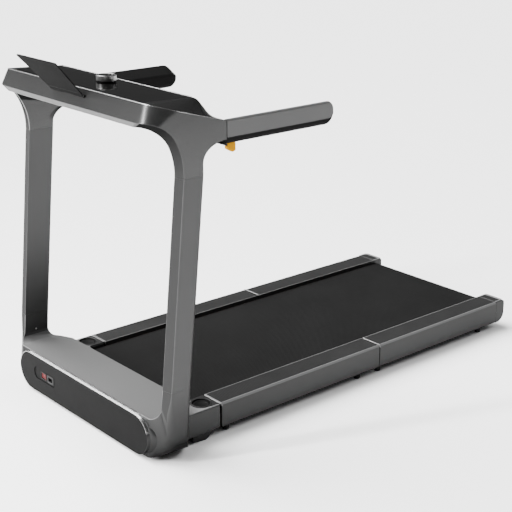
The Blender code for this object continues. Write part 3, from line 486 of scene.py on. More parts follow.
def cut_now(piece, cutter):
    """Subtract a guide from a piece and drop the guide."""
    modifier = piece.modifiers.new("cut", "BOOLEAN")
    modifier.operation = "DIFFERENCE"
    modifier.object = cutter
    with bpy.context.temp_override(object=piece, active_object=piece,
                                   selected_editable_objects=[piece]):
        bpy.ops.object.modifier_apply(modifier="cut")
    bpy.data.objects.remove(cutter, do_unlink=True)


BOX_FACES = [(0, 1, 3, 2), (4, 6, 7, 5), (0, 4, 5, 1), (2, 3, 7, 6), (0, 2, 6, 4), (1, 5, 7, 3)]


def box_corners(x, y, z):
    """Corners of a box in the order that BOX_FACES counts them."""
    return [(i, j, k) for i in sorted(x) for j in sorted(y) for k in sorted(z)]


def guide_box(x, y, z):
    """A plain box to cut with."""
    return new_piece("guide", box_corners(x, y, z), BOX_FACES, "black", None, False)


def side_faces(count, rows, closed=False):
    """Quads between neighbouring outlines; closed also joins the last to the first."""
    faces = []
    for row in range(rows if closed else rows - 1):
        here, there = row * count, (row + 1) % rows * count
        for i in range(count):
            j = (i + 1) % count
            faces.append((here + i, here + j, there + j, there + i))
    return faces


def capped_faces(count, rows):
    """Both end faces and the quads between the outlines of a solid."""
    last = count * rows
    return [tuple(range(count)), tuple(range(last - 1, last - count - 1, -1)),
            *side_faces(count, rows)]


def repaint(piece, material, pick):
    """Give the faces that pick(face) accepts another material."""
    piece.data.materials.append(MATERIALS[material])
    number = len(piece.data.materials) - 1
    for face in piece.data.polygons:
        if pick(face):
            face.material_index = number


def prism_parts(outline, start, end, axis):
    """Vertices and faces of a flat outline pushed along an axis."""
    vertices = []
    for reach in (start, end):
        for pair in outline:
            values = list(pair)
            values.insert("XYZ".index(axis), reach)
            vertices.append(tuple(values))
    return vertices, capped_faces(len(outline), 2)


def guide_prism(outline, start, end, axis):
    """An extruded outline to cut with."""
    vertices, faces = prism_parts(outline, start, end, axis)
    return new_piece("guide", vertices, faces, "black", None, False)


def prism(name, outline, start, end, axis, material, body):
    """A piece made by pushing an outline along an axis."""
    vertices, faces = prism_parts(outline, start, end, axis)
    return new_piece(name, vertices, faces, material, body, False)


def block(name, x, y, z, material, body, edge=0.001):
    """A box with rounded edges."""
    piece = new_piece(name, box_corners(x, y, z), BOX_FACES, material, body, False)
    bevel(piece, edge)
    return piece


def spun(name, profile, origin, axis, material, body, segments=64):
    """A profile of (radius, height) pairs turned about an axis; ends at radius 0 are closed."""
    turn = Vector((0, 0, 1)).rotation_difference(Vector(axis))
    vertices, rows = [], []
    for radius, height in profile:
        if radius == 0:
            rows.append([len(vertices)] * segments)
            vertices.append(Vector(origin) + turn @ Vector((0, 0, height)))
        else:
            rows.append(list(range(len(vertices), len(vertices) + segments)))
            for i in range(segments):
                angle = 2 * math.pi * i / segments
                spoke = Vector((radius * math.cos(angle), radius * math.sin(angle), height))
                vertices.append(Vector(origin) + turn @ spoke)
    faces = []
    closed = profile[0][0] != 0
    for k in range(len(profile) if closed else len(profile) - 1):
        low, high = rows[k], rows[(k + 1) % len(profile)]
        for i in range(segments):
            j = (i + 1) % segments
            ring = [low[i], low[j], high[j], high[i]]
            faces.append([v for n, v in enumerate(ring) if v not in ring[:n]])
    piece = new_piece(name, vertices, faces, material, body)
    even_normals(piece, 40)
    return piece


def arc(centre, radius, start, end, steps):
    """Points on an arc, angles in degrees."""
    points = []
    for i in range(steps + 1):
        angle = math.radians(start + (end - start) * i / steps)
        points.append((centre[0] + radius * math.cos(angle), centre[1] + radius * math.sin(angle)))
    return points


def refined(node, name, material, edge, segments=2, angle=30):
    """A copy of a plain CAD node with rounded edges, shown in its place."""
    source = NODES[node]
    work = bmesh.new()
    work.from_mesh(source.data)
    bmesh.ops.remove_doubles(work, verts=work.verts, dist=0.00001)
    bmesh.ops.dissolve_limit(work, angle_limit=math.radians(1.0), verts=work.verts,
                             edges=work.edges)
    work.verts.ensure_lookup_table()
    corners = [vertex.co.copy() for vertex in work.verts]
    faces = [[vertex.index for vertex in face.verts] for face in work.faces]
    work.free()
    piece = new_piece(name, corners, faces, material, source["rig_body"], False)
    bevel(piece, edge, segments, angle)
    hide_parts(node)
    return piece


def mix(a, b, t):
    """Straight blend of two numbers."""
    return a + (b - a) * t


def smooth(t):
    """Blend factor with flat ends."""
    return t * t * (3 - 2 * t)


def along(points, x):
    """Second number read off a polyline of (x, value) pairs."""
    for (x0, v0), (x1, v1) in zip(points, points[1:]):
        if x <= x1:
            return mix(v0, v1, max(0.0, (x - x0) / (x1 - x0)))
    return points[-1][1]


# ---------------------------------------------------------------- ring shells
# The same five section edges as the design, followed at a finer step: inner front, outer front,
# far edge of the outer skin, inner rear, and a line on the inner skin.
LEAN = 0.0956
COLUMN_DEPTH = 0.077
SET_BACK = 0.0065       # from the column's inner front edge back to its outer front edge
SKIN_DEPTH = 0.0585     # and on to the rear edge of its outer skin
LINING = 0.015          # from a rear edge forward to the line on the inner skin
INNER_CORNER = 0.022
OUTER_CORNER = 0.065
HOOD_FRONT_Y = -0.234
HOOD_REAR_Y = -0.095
HOOD_REAR_X = 0.262
REAR_PLAN = [(HOOD_REAR_X, HOOD_REAR_Y), (0.300, -0.112), (0.322, -0.127), (RING_IN, -0.134)]
FLARE_Z = 0.745
HEAD_CORNER = 0.068
WINDOW_CORNER = 0.045
WINDOW_TOP = 0.866
GLASS_SLOPE = 0.04
FASCIA_TOP = (-0.219, 0.9227)
FASCIA_BOTTOM = (-0.241, 0.880)
GLASS_REAR_Y = -0.062
ARM_END_Y = -0.013
ARM_LINING = 0.021
ARM_UNDER_Y = -0.030
ARM_FOOT_Z = 0.816                      # foot of the arm's outer skin
FILLET_SKIN = (-0.096, 0.760)           # Y and Z where the fillet under the arm begins
FILLET_REAR = (-0.0778, 0.755)
LEDGE_X, LEDGE_Y, LEDGE_Z = 0.292, -0.068, 0.864    # inner line below the glass
GLASS_CORNER_X = 0.285
# Degrees of the sweep at the ends of its stretches: fillet, arm, saddle and corner.
INNER_SWEEP = (0, 35, 45, 65, 90)
OUTER_SWEEP = (0, 35, 45, 67.8, 90)
SIDE_SLOPE = 0.2905
GLASS_END_X = 0.297
EDGE = 0.0018
CORNER_ROUND = 0.030
EDGE_STEPS = 2
OUTER_STEPS = 6
INNER_EDGE = range(0, EDGE_STEPS)
FRONT_FACE = EDGE_STEPS
OUTER_EDGE = range(FRONT_FACE + 1, FRONT_FACE + 1 + OUTER_STEPS)
TOP_EDGE = range(FRONT_FACE + OUTER_STEPS + 2, FRONT_FACE + OUTER_STEPS + 2 + EDGE_STEPS)


def column_front(z):
    """Y of the upright's inner front edge at a height."""
    return -0.221 + LEAN * (z - 0.052)


def column_station(z):
    """Section of the upright at a height."""
    front = column_front(z)
    return [(RING_IN, front, z), (RING_OUT, front + SET_BACK, z), (RING_OUT, front + SKIN_DEPTH, z),
            (RING_IN, front + COLUMN_DEPTH, z), (RING_IN, front + COLUMN_DEPTH - LINING, z)]


def base_station(x, outer_x, rear_x):
    """Section of the straight part of the base."""
    return [(x, HOOD_FRONT_Y, HOOD_TOP), (outer_x, HOOD_FRONT_Y, RING_BOTTOM),
            (rear_x, HOOD_REAR_Y, RING_BOTTOM), (rear_x, HOOD_REAR_Y, HOOD_TOP),
            (mix(rear_x, x, 0.3), HOOD_REAR_Y - LINING, HOOD_TOP)]


def quarter(t, centre_x, radius, low):
    """X and Z on a quarter circle that rises from a level line."""
    angle = math.pi / 2 * t
    return centre_x + radius * math.sin(angle), low + radius * (1 - math.cos(angle))


def base_corner(t):
    """Section in the corner between the base and the upright, t from 0 to 1."""
    in_x, in_z = quarter(t, RING_IN - INNER_CORNER, INNER_CORNER, HOOD_TOP)
    out_x, out_z = quarter(t, RING_OUT - OUTER_CORNER, OUTER_CORNER, RING_BOTTOM)
    if t < 0.3:
        skin_x, skin_z = mix(HOOD_REAR_X, RING_OUT - OUTER_CORNER, t / 0.3), RING_BOTTOM
        skin_y = along(REAR_PLAN, skin_x)
    else:
        skin_x, skin_z = quarter((t - 0.3) / 0.7, RING_OUT - OUTER_CORNER, OUTER_CORNER,
                                 RING_BOTTOM)
        skin_y = mix(-0.114, column_front(skin_z) + SKIN_DEPTH, (t - 0.3) / 0.7)
    if t < 0.4:
        rear_x, rear_z = mix(HOOD_REAR_X, RING_IN - INNER_CORNER, t / 0.4), HOOD_TOP
    else:
        rear_x, rear_z = quarter((t - 0.4) / 0.6, RING_IN - INNER_CORNER, INNER_CORNER, HOOD_TOP)
    inner_end = column_front(HOOD_TOP + INNER_CORNER)
    outer_end = column_front(RING_BOTTOM + OUTER_CORNER) + SET_BACK
    return [(in_x, mix(HOOD_FRONT_Y, inner_end, t), in_z),
            (out_x, mix(HOOD_FRONT_Y, outer_end, t), out_z), (skin_x, skin_y, skin_z),
            (rear_x, along(REAR_PLAN, rear_x), rear_z),
            (in_x, along(REAR_PLAN, in_x) - LINING, in_z)]


def window_x(z):
    """X of the window's edge near its upper corner."""
    rise = min(max(z - (WINDOW_TOP - WINDOW_CORNER), 0.0), WINDOW_CORNER)
    return RING_IN - WINDOW_CORNER + math.sqrt(WINDOW_CORNER ** 2 - rise ** 2)


def inner_flare(degrees):
    """Inner front edge where the upright sweeps forward into the console."""
    angle = math.radians(degrees)
    start = column_front(FLARE_Z)
    y = start - (0.237 + start) * (1 - math.cos(angle))
    z = FLARE_Z + (WINDOW_TOP - FLARE_Z) * math.sin(angle)
    return (window_x(z), y, z)


def outer_flare(degrees):
    """Outer front edge on the same sweep, rounded in plan at the console's corner."""
    angle = math.radians(degrees)
    start = column_front(FLARE_Z) + SET_BACK
    y = start - (start - FASCIA_BOTTOM[0]) * (1 - math.cos(angle))
    z = FLARE_Z + (FASCIA_BOTTOM[1] - FLARE_Z) * math.sin(angle)
    reach = min(max(FASCIA_BOTTOM[0] + HEAD_CORNER - y, 0.0), HEAD_CORNER)
    return (RING_OUT - HEAD_CORNER + math.sqrt(HEAD_CORNER ** 2 - reach ** 2), y, z)


def glass_z(y):
    """Height of the console's top plane."""
    return FASCIA_TOP[1] - GLASS_SLOPE * (y - FASCIA_TOP[0])


ARM_TOP = FASCIA_TOP[1] - SIDE_SLOPE * (ARM_END_Y - FASCIA_TOP[0])
CORNER_Y = FASCIA_TOP[0] + HEAD_CORNER


def flares(stretch, t):
    """Inner and outer front edge on one stretch of the sweep."""
    return [inner_flare(mix(*INNER_SWEEP[stretch:stretch + 2], t)),
            outer_flare(mix(*OUTER_SWEEP[stretch:stretch + 2], t))]


def fillet_curve(start, end_z, t):
    """Y and Z on the quarter ellipse from a start to the arm's end."""
    angle = math.pi / 2 * t
    return (start[0] + (ARM_END_Y - start[0]) * (1 - math.cos(angle)),
            start[1] + (end_z - start[1]) * math.sin(angle))


def fillet_station(t):
    """Section where the upright's rear sweeps back under the arm."""
    skin = (mix(RING_OUT, HANDRAIL_OUT, t), *fillet_curve(FILLET_SKIN, ARM_FOOT_Z, t))
    rear = (mix(RING_IN, HANDRAIL_IN, t), *fillet_curve(FILLET_REAR, HANDRAIL_LOW, t))
    under = (rear[0], rear[1] - mix(LINING, ARM_LINING, t), rear[2])
    return flares(0, t) + [skin, rear, under]


def arm_station(t):
    """Section climbing the arm's flat end from its foot to its top."""
    rear_z = mix(HANDRAIL_LOW, ARM_TOP, t)
    under = (mix(HANDRAIL_IN, HANDRAIL_IN - 0.0005, t), mix(ARM_END_Y - ARM_LINING, ARM_UNDER_Y, t),
             mix(HANDRAIL_LOW, HANDRAIL_LOW + 0.004, t))
    return flares(1, t) + [(HANDRAIL_OUT, ARM_END_Y, mix(ARM_FOOT_Z, ARM_TOP, t)),
                           (HANDRAIL_IN, ARM_END_Y, rear_z), under]


def saddle_station(t):
    """Section along the side edge that rises from the arm to the console's front corner."""
    y = mix(ARM_END_Y, CORNER_Y, t)
    skin = (mix(HANDRAIL_OUT, RING_OUT, min(1.0, 2 * t)), y,
            FASCIA_TOP[1] - SIDE_SLOPE * (y - FASCIA_TOP[0]))
    rear_y = mix(ARM_END_Y, GLASS_REAR_Y - 0.004, t)
    rear = (mix(HANDRAIL_IN, GLASS_END_X, t), rear_y, mix(ARM_TOP, glass_z(rear_y), smooth(t)))
    under = (mix(HANDRAIL_IN, LEDGE_X, t), mix(ARM_UNDER_Y, LEDGE_Y, t),
             mix(HANDRAIL_LOW, LEDGE_Z, t))
    return flares(2, t) + [skin, rear, under]


def corner_station(t):
    """Section round the console's front corner."""
    angle = math.pi / 2 * t
    skin = (RING_OUT - HEAD_CORNER * (1 - math.cos(angle)), CORNER_Y - HEAD_CORNER * math.sin(angle),
            FASCIA_TOP[1] - SIDE_SLOPE * HEAD_CORNER * (1 - math.sin(angle)))
    rear_y = mix(GLASS_REAR_Y - 0.004, GLASS_REAR_Y, t)
    rear = (mix(GLASS_END_X, GLASS_CORNER_X, t), rear_y, glass_z(rear_y))
    under = (mix(LEDGE_X, GLASS_CORNER_X, t), LEDGE_Y + 0.001, LEDGE_Z)
    return flares(3, t) + [skin, rear, under]


def round_corner(before, corner, after, radius, steps=EDGE_STEPS):
    """Points that round a section's corner."""
    back, ahead = before - corner, after - corner
    reach = min(radius, back.length * 0.45, ahead.length * 0.45)
    start = corner + back.normalized() * reach
    end = corner + ahead.normalized() * reach
    points = []
    for i in range(steps + 1):
        t = i / steps
        points.append(start * (1 - t) ** 2 + corner * 2 * t * (1 - t) + end * t * t)
    return points


def fine_section(station, roundness, front_round=EDGE, steps=8):
    """Closed outline of a station with rounded corners and a rounded rear outer edge."""
    front_in, front_out, skin, rear, under = [Vector((p[0], place(p[1]), p[2])) for p in station]
    middle = (skin + rear) / 2
    corner = Vector((skin.x, rear.y, (skin.z + rear.z) / 2))
    control = middle + (corner - middle) * 0.82 * roundness
    points = round_corner(under, front_in, front_out, EDGE)
    points += round_corner(front_in, front_out, skin, front_round, OUTER_STEPS)
    first = skin + (control - skin) * 0.1
    points += round_corner(front_out, skin, first, EDGE)
    for i in range(1, steps):
        t = mix(0.06, 0.94, i / steps)
        points.append(skin * (1 - t) ** 2 + control * 2 * t * (1 - t) + rear * t * t)
    last = rear + (control - rear) * 0.1
    points += round_corner(last, rear, under, EDGE)
    points += round_corner(rear, under, front_in, EDGE)
    return points


def loft(name, sections, material, body, choose=None):
    """Closed solid through a row of outlines; choose(step, centre) may name other materials."""
    count = len(sections[0])
    vertices = [point for section in sections for point in section]
    faces = capped_faces(count, len(sections))
    piece = new_piece(name, vertices, faces, material, body)
    if choose:
        used = [material]
        for face in piece.data.polygons[2:]:
            finish = choose((face.index - 2) % count, face.center)
            if finish not in used:
                used.append(finish)
                piece.data.materials.append(MATERIALS[finish])
            face.material_index = used.index(finish)
    return piece


def mirrored(section):
    """A section on the other side of the machine."""
    return [Vector((-p.x, p.y, p.z)) for p in section]


def base_finish(step, centre):
    """Bright metal on the inner edge as a painted highlight, a darker front above the hood's corners as
    painted shade, and lighter paint on its top as painted light.
    """
    if step in INNER_EDGE:
        return "edge"
    if step == FRONT_FACE and centre.z > HOOD_TOP + INNER_CORNER:
        return "front"
    inward = step >= TOP_EDGE.stop and centre.z > HOOD_TOP - 0.02
    return "hood" if inward and abs(centre.x) < RING_IN - 0.002 else "base"


HOOD_HOLLOW_TOP = 0.1175
BELT_HOLLOW_TOP = 0.0865


def make_base_shell():
    """Motor hood with its two upright stubs, hollow, open below and behind for the belt."""
    steps, fade_steps = 20, 5
    stations = [base_station(0.0, 0.0, 0.0),
                base_station(RING_IN - INNER_CORNER, RING_OUT - OUTER_CORNER, HOOD_REAR_X)]
    roundness, front_round = [0.0, 0.0], [EDGE, EDGE]
    for i in range(1, steps + 1):
        stations.append(base_corner(i / steps))
        roundness.append(max(0.0, 2 * i / steps - 1))
        front_round.append(mix(EDGE, CORNER_ROUND, smooth(min(1.0, 3 * i / steps))))
    column = column_station(SPLIT_LOW)
    for i in range(1, fade_steps + 1):
        t = i / fade_steps
        stations.append([tuple(mix(p, q, t) for p, q in zip(low, high))
                         for low, high in zip(base_corner(1.0), column)])
        roundness.append(1.0)
        front_round.append(mix(CORNER_ROUND, EDGE, smooth(t)))
    half = [fine_section(*values) for values in zip(stations, roundness, front_round)]
    shell = loft("base_shell", [mirrored(s) for s in half[::-1]] + half[1:], "hood", "frame",
                 base_finish)
    # Open the hood from below: over the pan, over the front roller and where the belt leaves.
    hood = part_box("bottom_pan")
    cut_now(shell, guide_box((hood[0].x - 0.001, hood[1].x + 0.001),
                             (hood[0].y - 0.0005, hood[1].y + 0.0005), (0.0, HOOD_HOLLOW_TOP)))
    roller_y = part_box("front_roller")
    cut_now(shell, guide_box((roller_y[0].x - 0.04, -roller_y[0].x + 0.04),
                             (hood[1].y, roller_y[1].y + 0.002), (0.0, BELT_HOLLOW_TOP)))
    cut_now(shell, guide_box((-BELT_HALF - 0.011, BELT_HALF + 0.011),
                             (roller_y[1].y, place(-0.080)), (0.0, BELT_HOLLOW_TOP)))
    even_normals(shell)
    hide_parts("base_housing")


def column_finish(step, centre):
    """Paler paint on the edges as painted highlights, beside a darker front face in painted shade."""
    if step == FRONT_FACE:
        return "front"
    return "chamfer" if step in (*INNER_EDGE, *OUTER_EDGE) else "body"


def make_upright_shells():
    """The two columns between the base and the console."""
    gap = 0.0003
    for side, sign in SIDES:
        sections = []
        for z in (SPLIT_LOW + gap, (SPLIT_LOW + SPLIT_HIGH) / 2, SPLIT_HIGH - gap):
            section = fine_section(column_station(z), 1.0)
            sections.append(section if sign > 0 else mirrored(section))
        shell = loft("upright_shell_" + side, sections, "body", "frame",
                     column_finish)
        even_normals(shell)
        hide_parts("upright_" + side)


def console_finish(step, centre):
    """Bright metal on the top and inner edges as painted highlights, a darker front as painted shade, and
    a pale strip under the fascia as a painted reflection.
    """
    if step in TOP_EDGE and centre.z > ARM_TOP + 0.004:
        return "trim"
    if step not in (*INNER_EDGE, FRONT_FACE):
        return "console"
    if abs(centre.x) < RING_OUT - HEAD_CORNER + 0.004 and centre.z > WINDOW_TOP + 0.002:
        return "rim"
    return "edge" if step in INNER_EDGE else "front"


def make_console_shell():
    """Console case and the arms that carry the handrails."""
    steps = 12
    stations, roundness = [column_station(SPLIT_HIGH)], [1.0]
    for number, build in enumerate((fillet_station, arm_station, saddle_station, corner_station)):
        for i in range(1, steps + 1):
            stations.append(build(i / steps))
            roundness.append(1 - i / steps if number == 0 else 0.0)
    stations.append([(0.0, p[1], p[2]) for p in stations[-1]])
    half = [fine_section(s, r) for s, r in zip(stations, roundness)]
    shell = loft("console_shell", half + [mirrored(s) for s in half[::-1][1:]], "console", "frame",
                 console_finish)
    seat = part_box("console_glass")
    front, rear = seat[0].y - 0.0005, seat[1].y + 0.0005
    slot = [(front, glass_z(front - FOLD) - 0.0030), (rear, glass_z(rear - FOLD) - 0.0030),
            (rear, 0.95), (front, 0.95)]
    cut_now(shell, guide_prism(slot, seat[0].x - 0.0003, seat[1].x + 0.0003, "X"))
    even_normals(shell)
    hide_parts("console_body")


# ---------------------------------------------------------------- front panel
PANEL_HALF = 0.315
PANEL_RADIUS = 0.055
PANEL_Z = 0.0635
PANEL_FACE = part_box("front_bezel")[0].y
PANEL_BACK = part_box("front_bezel")[1].y
COWL_END, COWL_FOOT = 0.0270, -0.0002
RIM_WIDTH, RIM_TOP = 0.0042, 0.0030
# Height above which the bezel keeps its bright metal as a painted highlight on its lit top; below it takes
# the base paint.
RIM_BRIGHT_ABOVE = 0.084


def stadium(grow, steps=28):
    """Outline with round ends; grow(sine) moves each point outwards."""
    points = []
    for sign, first in ((1, -90), (-1, 90)):
        centre = sign * (PANEL_HALF - PANEL_RADIUS)
        for i in range(steps + 1):
            angle = math.radians(first + 180 * i / steps)
            radius = PANEL_RADIUS + grow(math.sin(angle))
            points.append((centre + radius * math.cos(angle), PANEL_Z + radius * math.sin(angle)))
    return points


def ring_width(sine, end, top):
    """Width of a ring round the panel at its round ends, above and below."""
    return mix(end, top if sine > 0 else COWL_FOOT, sine * sine)


def ring_round_panel(name, rows, material):
    """Closed ring through outlines that follow the panel's edge; rows hold (grow, y)."""
    vertices = []
    for grow, y in rows:
        vertices += [(x, y, z) for x, z in stadium(grow)]
    faces = side_faces(len(vertices) // len(rows), len(rows), True)
    ring = new_piece(name, vertices, faces, material, "frame")
    even_normals(ring, 50)
    return ring


def make_front_bezel():
    """Bright chamfer round the front panel, a painted highlight on its upper part, and the painted cowl
    that carries it to the sides.
    """
    def rim(part, extra=0.0):
        return lambda sine: ring_width(sine, RIM_WIDTH, RIM_TOP) * part + extra

    def cowl(part):
        return lambda sine: ring_width(sine, COWL_END, RIM_TOP / 2) * part

    depth = PANEL_BACK - PANEL_FACE
    bright = ring_round_panel("panel_bezel", [
        (rim(1.0), PANEL_BACK), (rim(0.95), PANEL_FACE + depth * 0.80),
        (rim(0.55), PANEL_FACE + depth * 0.40), (rim(0.0, 0.0004), PANEL_FACE),
        (rim(0.0, -0.0008), PANEL_FACE), (rim(0.0, -0.0013), PANEL_FACE + 0.0005),
        (rim(0.0, -0.0013), PANEL_BACK)], "trim")
    # Painted highlight only on the bezel's upper part: its lower faces take the base paint.
    repaint(bright, "base", lambda face: face.center.z < RIM_BRIGHT_ABOVE)
    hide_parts("front_bezel")
    rows, steps = [(cowl(0.02), PANEL_BACK + 0.012)], 9
    for i in range(steps):
        angle = math.pi / 2 * i / (steps - 1)
        rows.append((cowl(math.sin(angle)), PANEL_FACE + 0.0062 + 0.040 * (1 - math.cos(angle))))
    ring_round_panel("panel_cowl", rows, "base")


def rounded_rectangle(x, z, radius, steps=8):
    """Outline of a rectangle with round corners."""
    (x0, x1), (z0, z1) = x, z
    points = []
    for centre, start in (((x1 - radius, z0 + radius), -90), ((x1 - radius, z1 - radius), 0),
                          ((x0 + radius, z1 - radius), 90), ((x0 + radius, z0 + radius), 180)):
        points += arc(centre, radius, start, start + 90, steps)
    return points


def make_front_panel():
    """Dark plate with a shallow pocket that holds the switch and the inlet."""
    outline = stadium(lambda sine: -0.0015)
    plate = prism("front_plate", outline, PANEL_FACE + 0.0006, PANEL_BACK, "Y", "panel", "frame")
    switch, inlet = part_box("power_switch"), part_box("power_inlet")
    pocket = rounded_rectangle((switch[0].x - 0.037, inlet[1].x + 0.016), (0.0500, 0.0868), 0.017)
    cut_now(plate, guide_prism(pocket, PANEL_FACE - 0.01, PANEL_FACE + 0.0022, "Y"))
    for low, high, room in ((switch[0], switch[1], 0.0018), (inlet[0], inlet[1], 0.0003)):
        cut_now(plate, guide_box((low.x - room, high.x + room),
                                 (PANEL_FACE - 0.01, PANEL_BACK + 0.01),
                                 (low.z - room, high.z + room)))
    bevel(plate, 0.0005, 2)
    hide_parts("front_panel")
    refined("power_switch", "switch_rocker", "red", 0.0012)
    frame_of("switch_frame", switch, 0.0009, "black")
    frame_of("inlet_frame", inlet, 0.0006, "black")
    NODES["power_inlet"].data.materials.clear()
    middle = (inlet[0] + inlet[1]) / 2
    for number, (dx, dz) in enumerate(((-0.005, -0.001), (0.0, 0.002), (0.005, -0.001))):
        block(f"inlet_pin_{number}", (middle.x + dx - 0.0009, middle.x + dx + 0.0009),
              (PANEL_FACE + 0.010, PANEL_FACE + 0.0188), (middle.z + dz - 0.002,
                                                         middle.z + dz + 0.002),
              "steel", "frame", 0.0003)


def frame_of(name, box, gap, material):
    """Thin raised surround of an opening in the panel's pocket."""
    low, high = box
    inner = rounded_rectangle((low.x - gap, high.x + gap), (low.z - gap, high.z + gap), 0.0008, 3)
    outer = rounded_rectangle((low.x - gap - 0.0016, high.x + gap + 0.0016),
                              (low.z - gap - 0.0016, high.z + gap + 0.0016), 0.0022, 3)
    vertices = []
    for outline, y in ((outer, PANEL_FACE + 0.0026), (outer, PANEL_FACE + 0.0012),
                       (inner, PANEL_FACE + 0.0012), (inner, PANEL_FACE + 0.0026)):
        vertices += [(x, y, z) for x, z in outline]
    faces = side_faces(len(inner), 4, True)
    ring = new_piece(name, vertices, faces, material, "frame", False)
    even_normals(ring, 40)


# ---------------------------------------------------------------- deck
def rail_profile(sign):
    """Section of a side rail in X and Z: recessed top for the strip, chamfered outer edge."""
    wall, chamfer, recess = 0.0035, 0.005, 0.0012
    inner_edge, outer_edge = RAIL_IN + 0.0020, DECK_OUT - chamfer - 0.0022
    outline = [(RAIL_IN, RAIL_TOP), (inner_edge, RAIL_TOP), (inner_edge, RAIL_TOP - recess),
               (outer_edge, RAIL_TOP - recess), (outer_edge, RAIL_TOP),
               (DECK_OUT - chamfer, RAIL_TOP), (DECK_OUT, RAIL_TOP - chamfer),
               (DECK_OUT, RAIL_BOTTOM + 0.003), (DECK_OUT - 0.003, RAIL_BOTTOM),
               (RAIL_IN + 0.012, RAIL_BOTTOM), (RAIL_IN + 0.012, RAIL_BOTTOM + wall),
               (DECK_OUT - wall, RAIL_BOTTOM + wall), (DECK_OUT - wall, RAIL_TOP - 0.0075),
               (RAIL_IN + wall, RAIL_TOP - 0.0075), (RAIL_IN + wall, RAIL_TOP - 0.014),
               (RAIL_IN, RAIL_TOP - 0.014)]
    return [(sign * x, z) for x, z in outline]


def paint_rail_edges(rail):
    """Paler paint on a rail's outer chamfer and on the lips beside its foot strip, as painted highlights.
    """
    level = 0.9
    repaint(rail, "chamfer", lambda face: 0.5 < face.normal.z < level)
    repaint(rail, "rim",
            lambda face: face.normal.z > level and face.center.z > RAIL_TOP - 0.0002)


def make_rails():
    """Side rails with their foot strips, end trims and rubber feet."""
    for half, feet in (("front", (0.030, 0.530)), ("rear", (0.616, 1.082))):
        body = "deck_" + half
        for side, sign in SIDES:
            node = f"rail_{half}_{side}"
            low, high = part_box(node)
            rail = prism(f"side_rail_{half}_{side}", rail_profile(sign), low.y, high.y, "Y", "rail",
                         body)
            paint_rail_edges(rail)
            bevel(rail, 0.0007, 2)
            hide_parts(node)
            strip = block(f"foot_strip_{half}_{side}",
                          (sign * (RAIL_IN + 0.0022), sign * (DECK_OUT - 0.0074)),
                          (low.y + 0.0024, high.y - 0.0004), (RAIL_TOP - 0.0011, RAIL_TOP - 0.0002),
                          "strip", body, 0.0003)
            make_end_trim(f"rail_end_{half}_{side}", sign, low.y, body)
            for number, y in enumerate(feet):
                spun(f"foot_{half}_{side}_{number}",
                     [(0, 0.0), (0.0075, 0.0), (0.0085, 0.0012), (0.0085, 0.0150),
                      (0.0110, 0.0165), (0.0110, RAIL_BOTTOM - 0.0002), (0, RAIL_BOTTOM - 0.0002)],
                     (sign * 0.292, place(y), 0.0), (0, 0, 1), "rubber", body, 32)


def make_end_trim(name, sign, y, body):
    """Bright cap plate over the front end of a rail section."""
    chamfer, out, wall = 0.005, 0.0005, 0.003
    outline = [(RAIL_IN, RAIL_TOP + out), (DECK_OUT - chamfer, RAIL_TOP + out),
               (DECK_OUT + out, RAIL_TOP - chamfer), (DECK_OUT + out, RAIL_TOP - chamfer - wall),
               (DECK_OUT - wall, RAIL_TOP - chamfer - wall),
               (DECK_OUT - chamfer - wall / 2, RAIL_TOP - wall), (RAIL_IN, RAIL_TOP - wall)]
    trim = prism(name, [(sign * x, z) for x, z in outline], y - 0.0003, y + 0.0022, "Y", "rim",
                 body)
    bevel(trim, 0.0003, 2)


def cap_outline(low, high, inset, corner, outer_corner, side_inset):
    """Outline in X and Y of an end cap's rim, open towards the rail."""
    inner_x, outer_x = RAIL_IN + inset[0], DECK_OUT - side_inset
    return [(inner_x, low.y + 0.001), (inner_x, high.y - inset[1] - corner[1]),
            (inner_x + corner[0], high.y - inset[1]), (outer_x - outer_corner[0], high.y - inset[1]),
            (outer_x, high.y - inset[1] - outer_corner[1]), (outer_x, low.y + 0.001)]


def make_end_caps():
    """Rounded rear ends of the side rails, each with its bright rim."""
    for side, sign in SIDES:
        node = "end_cap_" + side
        refined(node, f"rail_cap_{side}", "rail", 0.0014, 3, 25)
        low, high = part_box(node)
        rim = cap_outline(low, high, (0.0005, 0.0025), (0.0035, 0.0035), (0.0045, 0.0045), 0.0055)
        inner = cap_outline(low, high, (0.0045, 0.0125), (0.0020, 0.0015), (0.0035, 0.0035), 0.0090)
        outline = [(sign * x, y) for x, y in rim + inner[::-1]]
        ring = prism(f"cap_rim_{side}", outline, RAIL_TOP - 0.0008, RAIL_TOP + 0.0006, "Z", "rim",
                     "deck_rear")
        bevel(ring, 0.0003, 2)
        pad = [(sign * x, y) for x, y in inner]
        cover = prism(f"cap_pad_{side}", pad, RAIL_TOP - 0.0006, RAIL_TOP + 0.0001, "Z", "strip",
                      "deck_rear")
        bevel(cover, 0.0002, 1)


